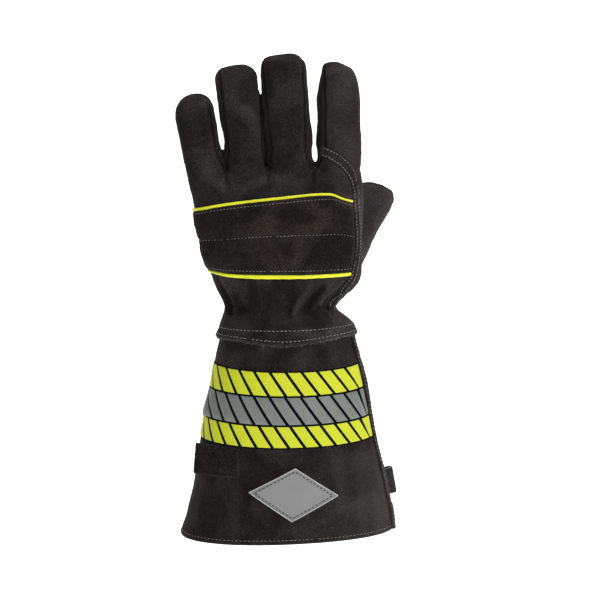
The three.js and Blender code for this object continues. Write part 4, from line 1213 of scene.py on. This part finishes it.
paintOuter(mesh, "wearAndPaintedLight", np.full(stripOuter.shape[:2], 0.12))
addPiece("seamStrip", mesh, stripSuede, ["seam_strip"], sharp=45)
stripStitches = []
for sign in (-1, 1):
    column = int(round((sign * stripSet["stitch"] / (stripSet["width"] / 2) + 1) / 2 * (stripSet["columns"] - 1)))
    stripStitches += stitchRow(stripOuter[3:-3, column], outs[3:-3], stripThread, wobble=0.2, missing=0.04)
addParts("stripStitches", stripStitches, paleThread)
report("seam strip made")

# the hand's hem: two rows of stitches and a raw, fraying edge

hemSet = {
    "rows": (161.5, 153.8), "stitch": {"pitch": 3.2, "length": 2.4, "thick": 0.5},
    "edge": 150.4, "fibres": 620, "longest": 2.4, "fibre": 0.11,
}
hemStitches = []
for level in hemSet["rows"]:
    path, outward = [], []
    for angle in np.arange(0, 361, 1.5):
        plainX = handPoint(np.array([angle]), np.array([level]), 0)[0][0]
        spot, out = onSkin(angle, level + float(hemRise(plainX, level)), 0.0)
        path.append(spot)
        outward.append(out)
    hemStitches += stitchRow(path, outward, hemSet["stitch"], missing=0.03)
addParts("hemStitches", hemStitches, paleThread)

fibres = []
for i in range(hemSet["fibres"]):
    angle = chance.uniform(0, 360)
    plainX = handPoint(np.array([angle]), np.array([hemSet["edge"]]), 0)[0][0]
    risen = float(hemRise(plainX, hemSet["edge"]))
    spot, out = onSkin(angle, 151.2 + risen, -0.3)
    spot[2] = hemSet["edge"] + risen + chance.uniform(-0.2, 0.8)
    length = chance.uniform(0.8, hemSet["longest"]) * (0.4 + 0.6 * chance.rand())
    way = np.array((chance.normal() * 0.6, chance.normal() * 0.2, -1)) + out * chance.uniform(-0.1, 0.9)
    way = unit(way)
    bend = chance.normal(size=3) * 0.5
    rings = []
    for share in np.linspace(0, 1, 5):
        centre = spot + (way + bend * share) * length * share
        size = hemSet["fibre"] * (1 - 0.7 * share)
        turn = np.arange(4) * math.pi / 2
        rings.append(centre + stacked(np.cos(turn) * size, np.sin(turn) * size, 0))
    fibres.append(closedLoft(np.array(rings)[::-1]))
addParts("hemFibres", fibres, paleThread)
report("hem made")

# the gauntlet cuff and its binding

bandSet = {
    "foot": 73.2, "bow": 3, "lower": 16.4, "silver": 21.2, "upper": 18.1, "gap": 0.7,
    "pitch": 12.2, "line": 2.75, "slant": 0.64, "under": 0.35, "thick": 0.45, "inset": 0.42, "curl": 2.5,
    "border": 0.55,  # how far the black cloth shows past the tapes
}
bandTop = bandSet["foot"] + bandSet["lower"] + bandSet["silver"] + bandSet["upper"] + 2 * bandSet["gap"]


def bowed(height, angle):
    below = height / bandSet["foot"]
    above = (glove["cuffHeight"] - height) / (glove["cuffHeight"] - bandTop)
    return height + bandSet["bow"] * np.cos(np.radians(angle)) ** 2 * np.minimum(1, np.minimum(below, above))


def roundCuff(angle, height, distance):
    speed = np.linalg.norm(cuffPoint(angle + 1, height, 0) - cuffPoint(angle, height, 0), axis=-1)
    return angle + distance / speed


cuffSet = {
    "columns": 300, "waves": ((60, 0.45, 71), (22, 0.22, 72), (7, 0.08, 73)),  # wavelength, depth, seed
    "row": 3.4,  # height of the hem's row of stitches
    "hemStitch": {"pitch": 3.2, "length": 2.2, "thick": 0.4},
    "bindStitch": {"pitch": 3.2, "length": 2.1, "thick": 0.4},
}


def cuffDents(spot):
    return sum(depth * 0.5 * waves(spot, length, seed) for length, depth, seed in cuffSet["waves"])


def underBand(height):
    # 1 on the open leather between the hem and the band
    return easeBetween(height, 0, 12) * (1 - easeBetween(height, 66, 73))


share = np.linspace(0, 1, cuffSet["columns"])
levels = np.concatenate([[0, 0.25, 0.7, 1.3], np.linspace(2.2, 157, 118), [157.6, 158]])
slit = roundCuff(glove["seamAngle"], 80.0, 0.15) - glove["seamAngle"]
cuffAngles = glove["seamAngle"] + slit + share * (360 - 2 * slit)
angleGrid, levelGrid = np.meshgrid(cuffAngles, levels)
raised = bowed(levelGrid, angleGrid)
plain = cuffPoint(angleGrid, raised, 0)
overBand = easeBetween(levelGrid, 132, 140) * (1 - easeBetween(levelGrid, 145, 150))
uneven = cuffDents(plain) * (underBand(levelGrid) + 0.4 * overBand)
uneven -= 0.35 * np.exp(-(((levelGrid - cuffSet["row"]) / 0.9) ** 2))
rounding = 0.75 * (1 - easeBetween(levelGrid, 0, 1.4))
cuffOuter = cuffPoint(angleGrid, raised, uneven - rounding)
cuffInner = cuffPoint(angleGrid, raised, -glove["leather"] + rounding + uneven * 0.5)
mesh = meshFrom("cuffLeather", *slab(cuffInner, cuffOuter))
cuffWearAndLight = 0.5 * (1 - easeBetween(levelGrid, 0, 2.5)) + 0.12 * np.clip(waves(plain, 30, 75), 0, 2)
cuffWearAndLight += 0.1 * np.clip(waves(plain * np.array((1, 1, 0.2)), 16, 76), -1, 2)
# painted light: the right side below the band paler, as lit from the right
cuffWearAndLight += 0.5 * easeBetween(plain[..., 0], 10, 60) * (1 - easeBetween(levelGrid, 60, 75))
cuffWearAndLight += 0.12 * easeBetween(levelGrid, 125, 135)
paintOuter(mesh, "wearAndPaintedLight", np.clip(cuffWearAndLight, 0, 0.8))
addPiece("cuffLeather", mesh, cuffSuede, ["cuff"], sharp=50)


def onCuff(angle, height, lift):
    # a point of the cuff's dressed face
    angle, height = np.asarray(angle, float), np.asarray(height, float)
    return cuffPoint(angle, height, lift + cuffDents(cuffPoint(angle, height, 0)) * underBand(height))


share = np.linspace(-0.5, 0.5, 15)
levels = np.linspace(0.4, 156.0, 124)
shareGrid, levelGrid = np.meshgrid(share, levels)
bindAngles = roundCuff(np.full(shareGrid.shape, glove["seamAngle"]), levelGrid, shareGrid * glove["bindingWidth"])
domed = 1 - np.abs(shareGrid * 2) ** 6
bulge = 1.4 * np.exp(-(((levelGrid - 118) / 24) ** 2)) + 1.1 * np.exp(-(((levelGrid - 15) / 9) ** 2))
bindOuter = cuffPoint(bindAngles, levelGrid, 0.3 + (1.3 + bulge) * (0.3 + 0.7 * domed))
bindOuter += (0.1 * waves(bindOuter, 8, 81))[..., None] * np.array((0.9, 0.2, 0))
bindInner = cuffPoint(bindAngles, levelGrid, 0.15)
mesh = meshFrom("cuffBinding", *slab(bindInner, bindOuter))
# painted light: the binding runs down the right side and is paler below the band, as lit from the right; a little wear
# all along
paintOuter(mesh, "wearAndPaintedLight", 0.5 * (1 - easeBetween(levelGrid, 60, 80)) + 0.1)
addPiece("cuffBinding", mesh, cuffSuede, ["cuff_binding"], sharp=50)
bindStitches = []
for column in (2, -3):
    line = bindOuter[1:-1, column]
    outward = np.tile((0.95, -0.3, 0.1), (len(line), 1))
    bindStitches += stitchRow(line, outward, cuffSet["bindStitch"], missing=0.04)
rowLevels = np.full(cuffSet["columns"], cuffSet["row"])
hemPath = onCuff(cuffAngles, rowLevels, -0.1)
hemOut = onCuff(cuffAngles, rowLevels, 3) - hemPath
cuffStitches = stitchRow(hemPath[2:-2], hemOut[2:-2], cuffSet["hemStitch"], wobble=0.16, missing=0.05)
addParts("cuffStitches", cuffStitches + bindStitches, paleThread)
report("cuff made")

# the reflective band: black cloth with slanted pieces of tape on it


def girth(level, clear):
    start = float(roundCuff(glove["seamAngle"], level, clear))
    end = 360 + float(roundCuff(glove["seamAngle"], level, -clear))
    angles = np.linspace(start, end, 241)
    places = cuffPoint(angles, np.full(241, level), 0)
    lengths = reached(places)
    return lengths[-1], lambda s: np.interp(s * lengths[-1], lengths, angles)


def bandLift(angle, level):
    # the silver tape stands off a little at the left side
    middle = bandSet["foot"] + bandSet["lower"] + bandSet["silver"] / 2
    return 0.8 * np.exp(-(((angle - 189) / 9) ** 2)) * np.exp(-(((level - middle) / 9) ** 4))


def looseEnd(angle, level):
    # the silver tape's lower edge curls away from the cuff at the left side
    top, bottom = bandSet["foot"] + bandSet["lower"] + bandSet["silver"], bandSet["foot"] + bandSet["lower"]
    return bandSet["curl"] * np.exp(-(((angle - 187) / 9) ** 2)) * (1 - easeBetween(level, bottom, top)) ** 0.8


clear = glove["bindingWidth"] / 2 + 0.3
share = np.linspace(0, 1, 260)
levels = np.linspace(bandSet["foot"] - bandSet["border"], bandTop + bandSet["border"], 44)
angleGrid = np.array([girth(level, clear)[1](share) for level in levels])
levelGrid = np.repeat(levels[:, None], len(share), axis=1)
raised = bowed(levelGrid, angleGrid)
lift = bandLift(angleGrid, levelGrid)
backOuter = cuffPoint(angleGrid, raised, bandSet["under"] + lift)
backInner = cuffPoint(angleGrid, raised, 0.02 + lift * 0.9)
mesh = meshFrom("bandCloth", *slab(backInner, backOuter))
bandPiece = addPiece("bandCloth", mesh, bandBlack, sharp=50)


def addSlantedTape(pieceName, nodeName, low, height, finish, phase):
    lowLength, lowAt = girth(low, clear)
    highLength, highAt = girth(low + height, clear)
    length = (lowLength + highLength) / 2
    count = int(round(length / bandSet["pitch"]))
    line = bandSet["line"] / length
    slant = bandSet["slant"] * height / length
    parts = []
    across, up = np.linspace(0, 1, 9), np.linspace(0, 1, 13)
    cuts = [0] + [(i + phase) / count for i in range(count) if i + phase > 0.3] + [1]
    for begin, finishAt in zip(cuts[:-1], cuts[1:]):
        start, end = begin + (line / 2 if begin else 0), finishAt - (line / 2 if finishAt < 1 else 0)
        s = mix(start, end, across)[None, :] * np.ones((len(up), 1))
        t = up[:, None] * np.ones((1, len(across)))
        room = np.minimum(1, np.minimum(s * count, (1 - s) * count))
        s = s + slant * (0.5 - t) * room
        angle = lowAt(s) * (1 - t) + highAt(s) * t
        level = low + t * height
        raisedNow = bowed(level, angle)
        rimAcross, rimUp = np.minimum(across, 1 - across)[None, :] * 9, np.minimum(up, 1 - up)[:, None] * 16
        rim = np.minimum(1, np.minimum(rimAcross, rimUp))
        thick = bandSet["under"] + bandSet["thick"] * (0.4 + 0.6 * rim) + bandLift(angle, level)
        if pieceName == "tapeSilver":
            thick = thick + looseEnd(angle, level)
        outer = cuffPoint(angle, raisedNow, thick)
        inner = cuffPoint(angle, raisedNow, bandSet["under"] - 0.1 + bandLift(angle, level))
        parts.append(slab(inner, outer))
    return addParts(pieceName, parts, finish, [nodeName], sharp=45)


silverFoot = bandSet["foot"] + bandSet["lower"] + bandSet["gap"]
upperFoot = silverFoot + bandSet["silver"] + bandSet["gap"]
inset = bandSet["inset"]
for pieceName, nodeName, foot, height, finish, slotName, phase in (
    ("tapeLower", "tape_lower", bandSet["foot"], bandSet["lower"], yellowCloth, "yellow_tape", 0.21),
    ("tapeSilver", "tape_silver", silverFoot, bandSet["silver"], silverCloth, "silver_tape", 0.52),
    ("tapeUpper", "tape_upper", upperFoot, bandSet["upper"], yellowCloth, "yellow_tape", 0),
):
    addSlantedTape(pieceName, nodeName, foot + inset, height - 2 * inset, finish, phase)
bandHeight = levels[-1] - levels[0]
bandFlat = (girth(levels[len(levels) // 2], clear)[0] * millimetre, bandHeight * millimetre)
report("band made")

# the label, bare

labelSet = {
    "width": 68, "height": 40.6, "centre": (5.4, 37.9), "tilt": -3.8, "lift": 0.25, "thick": 0.75,
    "rim": {"pitch": 0.62, "length": 1.0, "thick": 0.85},
    "stitch": {"pitch": 3.0, "length": 2.2, "thick": 0.85},
}


def cuffAngleAt(x, height):
    angles = np.linspace(glove["cuffTurn"] + 180, 360, 721)
    return float(np.interp(x, cuffPoint(angles, np.full(721, height), 0)[:, 0], angles))


def onLabel(across, up, lift):
    # across and up run from -1 to 1 along the diamond's two diagonals
    tilt = math.radians(labelSet["tilt"])
    x, z = across * labelSet["width"] / 2, up * labelSet["height"] / 2
    spotX = labelSet["centre"][0] + x * math.cos(tilt) - z * math.sin(tilt)
    spotZ = labelSet["centre"][1] + x * math.sin(tilt) + z * math.cos(tilt)
    return onCuff(cuffAngleAt(spotX, spotZ), spotZ, lift)


def diamondGrid(size, lift, steps=29):
    # rows and columns run along the diamond's sides
    grid = np.zeros((steps, steps, 3))
    for j, b in enumerate(np.linspace(0, 1, steps)):
        for i, a in enumerate(np.linspace(0, 1, steps)):
            grid[j, i] = onLabel((a + b - 1) * size, (b - a) * size, lift(a, b) if callable(lift) else lift)
    return grid


def labelLift(a, b):
    rim = min(1, 14 * min(a, 1 - a, b, 1 - b))
    return labelSet["lift"] + labelSet["thick"] * (0.35 + 0.65 * rim)


mesh = meshFrom("labelCloth", *slab(diamondGrid(1, 0.05), diamondGrid(1, labelLift)))
labelPiece = addPiece("labelCloth", mesh, labelGrey, ["label"], sharp=50)
rimParts, borderStitches = [], []
corners = [(-1, 0), (0, -1), (1, 0), (0, 1)]
for size, lift, look, wobble, parts in (
    (0.985, -0.1, labelSet["rim"], 0.02, rimParts),
    (0.87, 0.0, labelSet["stitch"], 0.04, borderStitches),
):
    for (ax, az), (bx, bz) in zip(corners, corners[1:] + corners[:1]):
        path, outward = [], []
        for t in np.linspace(0, 1, 40):
            across, up = mix(ax, bx, t) * size, mix(az, bz, t) * size
            spot = onLabel(across, up, labelSet["lift"] + labelSet["thick"] + lift)
            path.append(spot)
            outward.append(onLabel(across, up, 4) - spot)
        parts.extend(stitchRow(path, outward, look, wobble=wobble))
labelEdge = addParts("labelEdge", rimParts, labelRim)
labelBorder = addParts("labelStitches", borderStitches, darkThread)
report("label made")

# the pile patch

pileSet = {
    "width": 42, "height": 23, "curl": 5.5, "edge": -35.8, "middle": 62, "thick": 1.5,
    "tufts": 2600, "thread": 0.11,
}


def onPatch(across, up, lift):
    across, up = np.asarray(across, float), np.asarray(up, float)
    height = pileSet["middle"] + (up - 0.5) * pileSet["height"]
    levels = np.linspace(height.min(), height.max() + 0.01, 12)
    end = np.interp(height, levels, [cuffAngleAt(pileSet["edge"], level) for level in levels])
    lift = lift + pileSet["curl"] * (1 - np.minimum(1, across / 0.55)) ** 1.5
    return onCuff(roundCuff(end, height, (across - 1) * pileSet["width"]), height, lift)


a, b = np.meshgrid(np.linspace(0, 1, 110), np.linspace(0, 1, 60))
rim = np.minimum(1, np.minimum(np.minimum(a, 1 - a) * 40, np.minimum(b, 1 - b) * 22))
inner = onPatch(a, b, 0.1)
outer = onPatch(a, b, 0.3 + pileSet["thick"] * (0.3 + 0.5 * rim) + 0.18 * chance.rand(*a.shape) * rim)
mesh = meshFrom("pilePatch", *slab(inner, outer))
patchPiece = addPiece("pilePatch", mesh, pileBlack, ["hook_patch"], sharp=0)
tuftAcross = chance.uniform(0.02, 0.98, pileSet["tufts"])
tuftUp = chance.uniform(0.035, 0.965, pileSet["tufts"])
tuftFeet = onPatch(tuftAcross, tuftUp, 1.2)
tuftWays = onPatch(tuftAcross, tuftUp, 4) - tuftFeet
tufts = []
for foot, out in zip(tuftFeet, tuftWays):
    out = unit(out)
    side = unit(np.cross(out, chance.normal(size=3)))
    across = np.cross(out, side)
    radius = chance.uniform(0.28, 0.5)
    rings = []
    for turn in np.linspace(0, math.pi, 5):
        centre = foot + side * math.cos(turn) * radius + out * math.sin(turn) * radius * 1.5
        radial = side * math.cos(turn) + out * math.sin(turn)
        rings.append(centre + np.array([radial, across, -radial, -across]) * pileSet["thread"])
    tufts.append(closedLoft(np.array(rings)))
tuftPiece = addParts("pileTufts", tufts, pileBlack)
report("pile patch made")

# the hang loop

loopSet = {
    "height": 21, "reach": 8.6, "width": 6.4, "thick": 1.3, "foot": 24, "angle": 2,
    "ribs": 14, "edge": {"pitch": 0.7, "length": 0.9, "thick": 0.6},
}
foot = cuffPoint(loopSet["angle"], loopSet["foot"], 0.25)
head = cuffPoint(loopSet["angle"], loopSet["foot"] + loopSet["height"], 0.25)
onward, backward = (cuffPoint(loopSet["angle"] + step, loopSet["foot"], 0.3) for step in (1, -1))
upLoop = unit(head - foot)
outLoop = unit(np.cross(onward - backward, upLoop))
sideLoop = np.cross(upLoop, outLoop)
half = loopSet["width"] / 2 - loopSet["thick"] / 2
straight = loopSet["reach"] - loopSet["width"] / 2
path = [(0.0, -half)] + [(a, -half) for a in np.linspace(0.5, straight, 6)]
for turn in np.linspace(-math.pi / 2, math.pi / 2, 17)[1:-1]:
    path.append((straight + half * math.cos(turn), half * math.sin(turn)))
path += [(a, half) for a in np.linspace(straight, 0.0, 7)]
path = smoothLine(path, 46)
ways = unit(np.gradient(path, axis=0))
sides = np.stack([ways[:, 1], -ways[:, 0]], axis=-1)
up = np.linspace(0, 1, 40)
loopFaces = []
for sign in (-1, 1):
    shape = path + sides * sign * loopSet["thick"] / 2
    grid = np.zeros((len(up), len(path), 3))
    for j, t in enumerate(up):
        rib = 0.07 * math.sin(t * 2 * math.pi * loopSet["ribs"])
        rimmed = 0.25 * (1 - min(1, 12 * min(t, 1 - t)))
        ribbed = shape - sides * sign * (rimmed - rib)
        spots = foot + outLoop * ribbed[:, :1] + sideLoop * ribbed[:, 1:]
        grid[j] = spots + upLoop * t * loopSet["height"]
    loopFaces.append(grid)
mesh = meshFrom("hangLoop", *slab(*loopFaces))
loopPiece = addPiece("hangLoop", mesh, loopWeb, ["hang_loop"], sharp=50)
# painted highlight: a row of pale threads along the loop's top fold stands in for the fold's highlight
topEdge = (loopFaces[0][-1] + loopFaces[1][-1]) / 2
highlightThreads = stitchRow(topEdge[3:-3], np.tile(upLoop, (len(topEdge) - 6, 1)), loopSet["edge"])
loopEdgeHighlight = addParts("loopEdgeHighlight", highlightThreads, labelRim)
report("hang loop made")

# the floor

profile = [(stageSet["front"], 0.0)]
bendStart = stageSet["back"] - stageSet["bend"]
for turn in np.linspace(0, math.pi / 2, 24):
    profile.append((bendStart + stageSet["bend"] * math.sin(turn), stageSet["bend"] * (1 - math.cos(turn))))
profile.append((stageSet["back"], stageSet["high"]))
grid = [(side * stageSet["wide"], y, z) for y, z in profile for side in (-1, 1)]
floorMesh = bpy.data.meshes.new("floor")
floorMesh.from_pydata(grid, [], [(2 * i, 2 * i + 1, 2 * i + 3, 2 * i + 2) for i in range(len(profile) - 1)])
floorMesh.polygons.foreach_set("use_smooth", np.ones(len(floorMesh.polygons), bool))
floorFinish, floorTree, floorShader = startFinish("paleFloor")
floorShader.inputs["Base Color"].default_value = (*stageSet["colour"], 1)
floorShader.inputs["Roughness"].default_value = 0.9
floorShader.inputs["Emission Color"].default_value = (1, 1, 1, 1)
floorShader.inputs["Emission Strength"].default_value = stageSet["glow"]
floorMesh.materials.append(floorFinish)
floor = bpy.data.objects.new("floor", floorMesh)
bpy.context.scene.collection.objects.link(floor)

bpy.context.view_layer.update()
bpy.context.view_layer.update()
report("all pieces made")
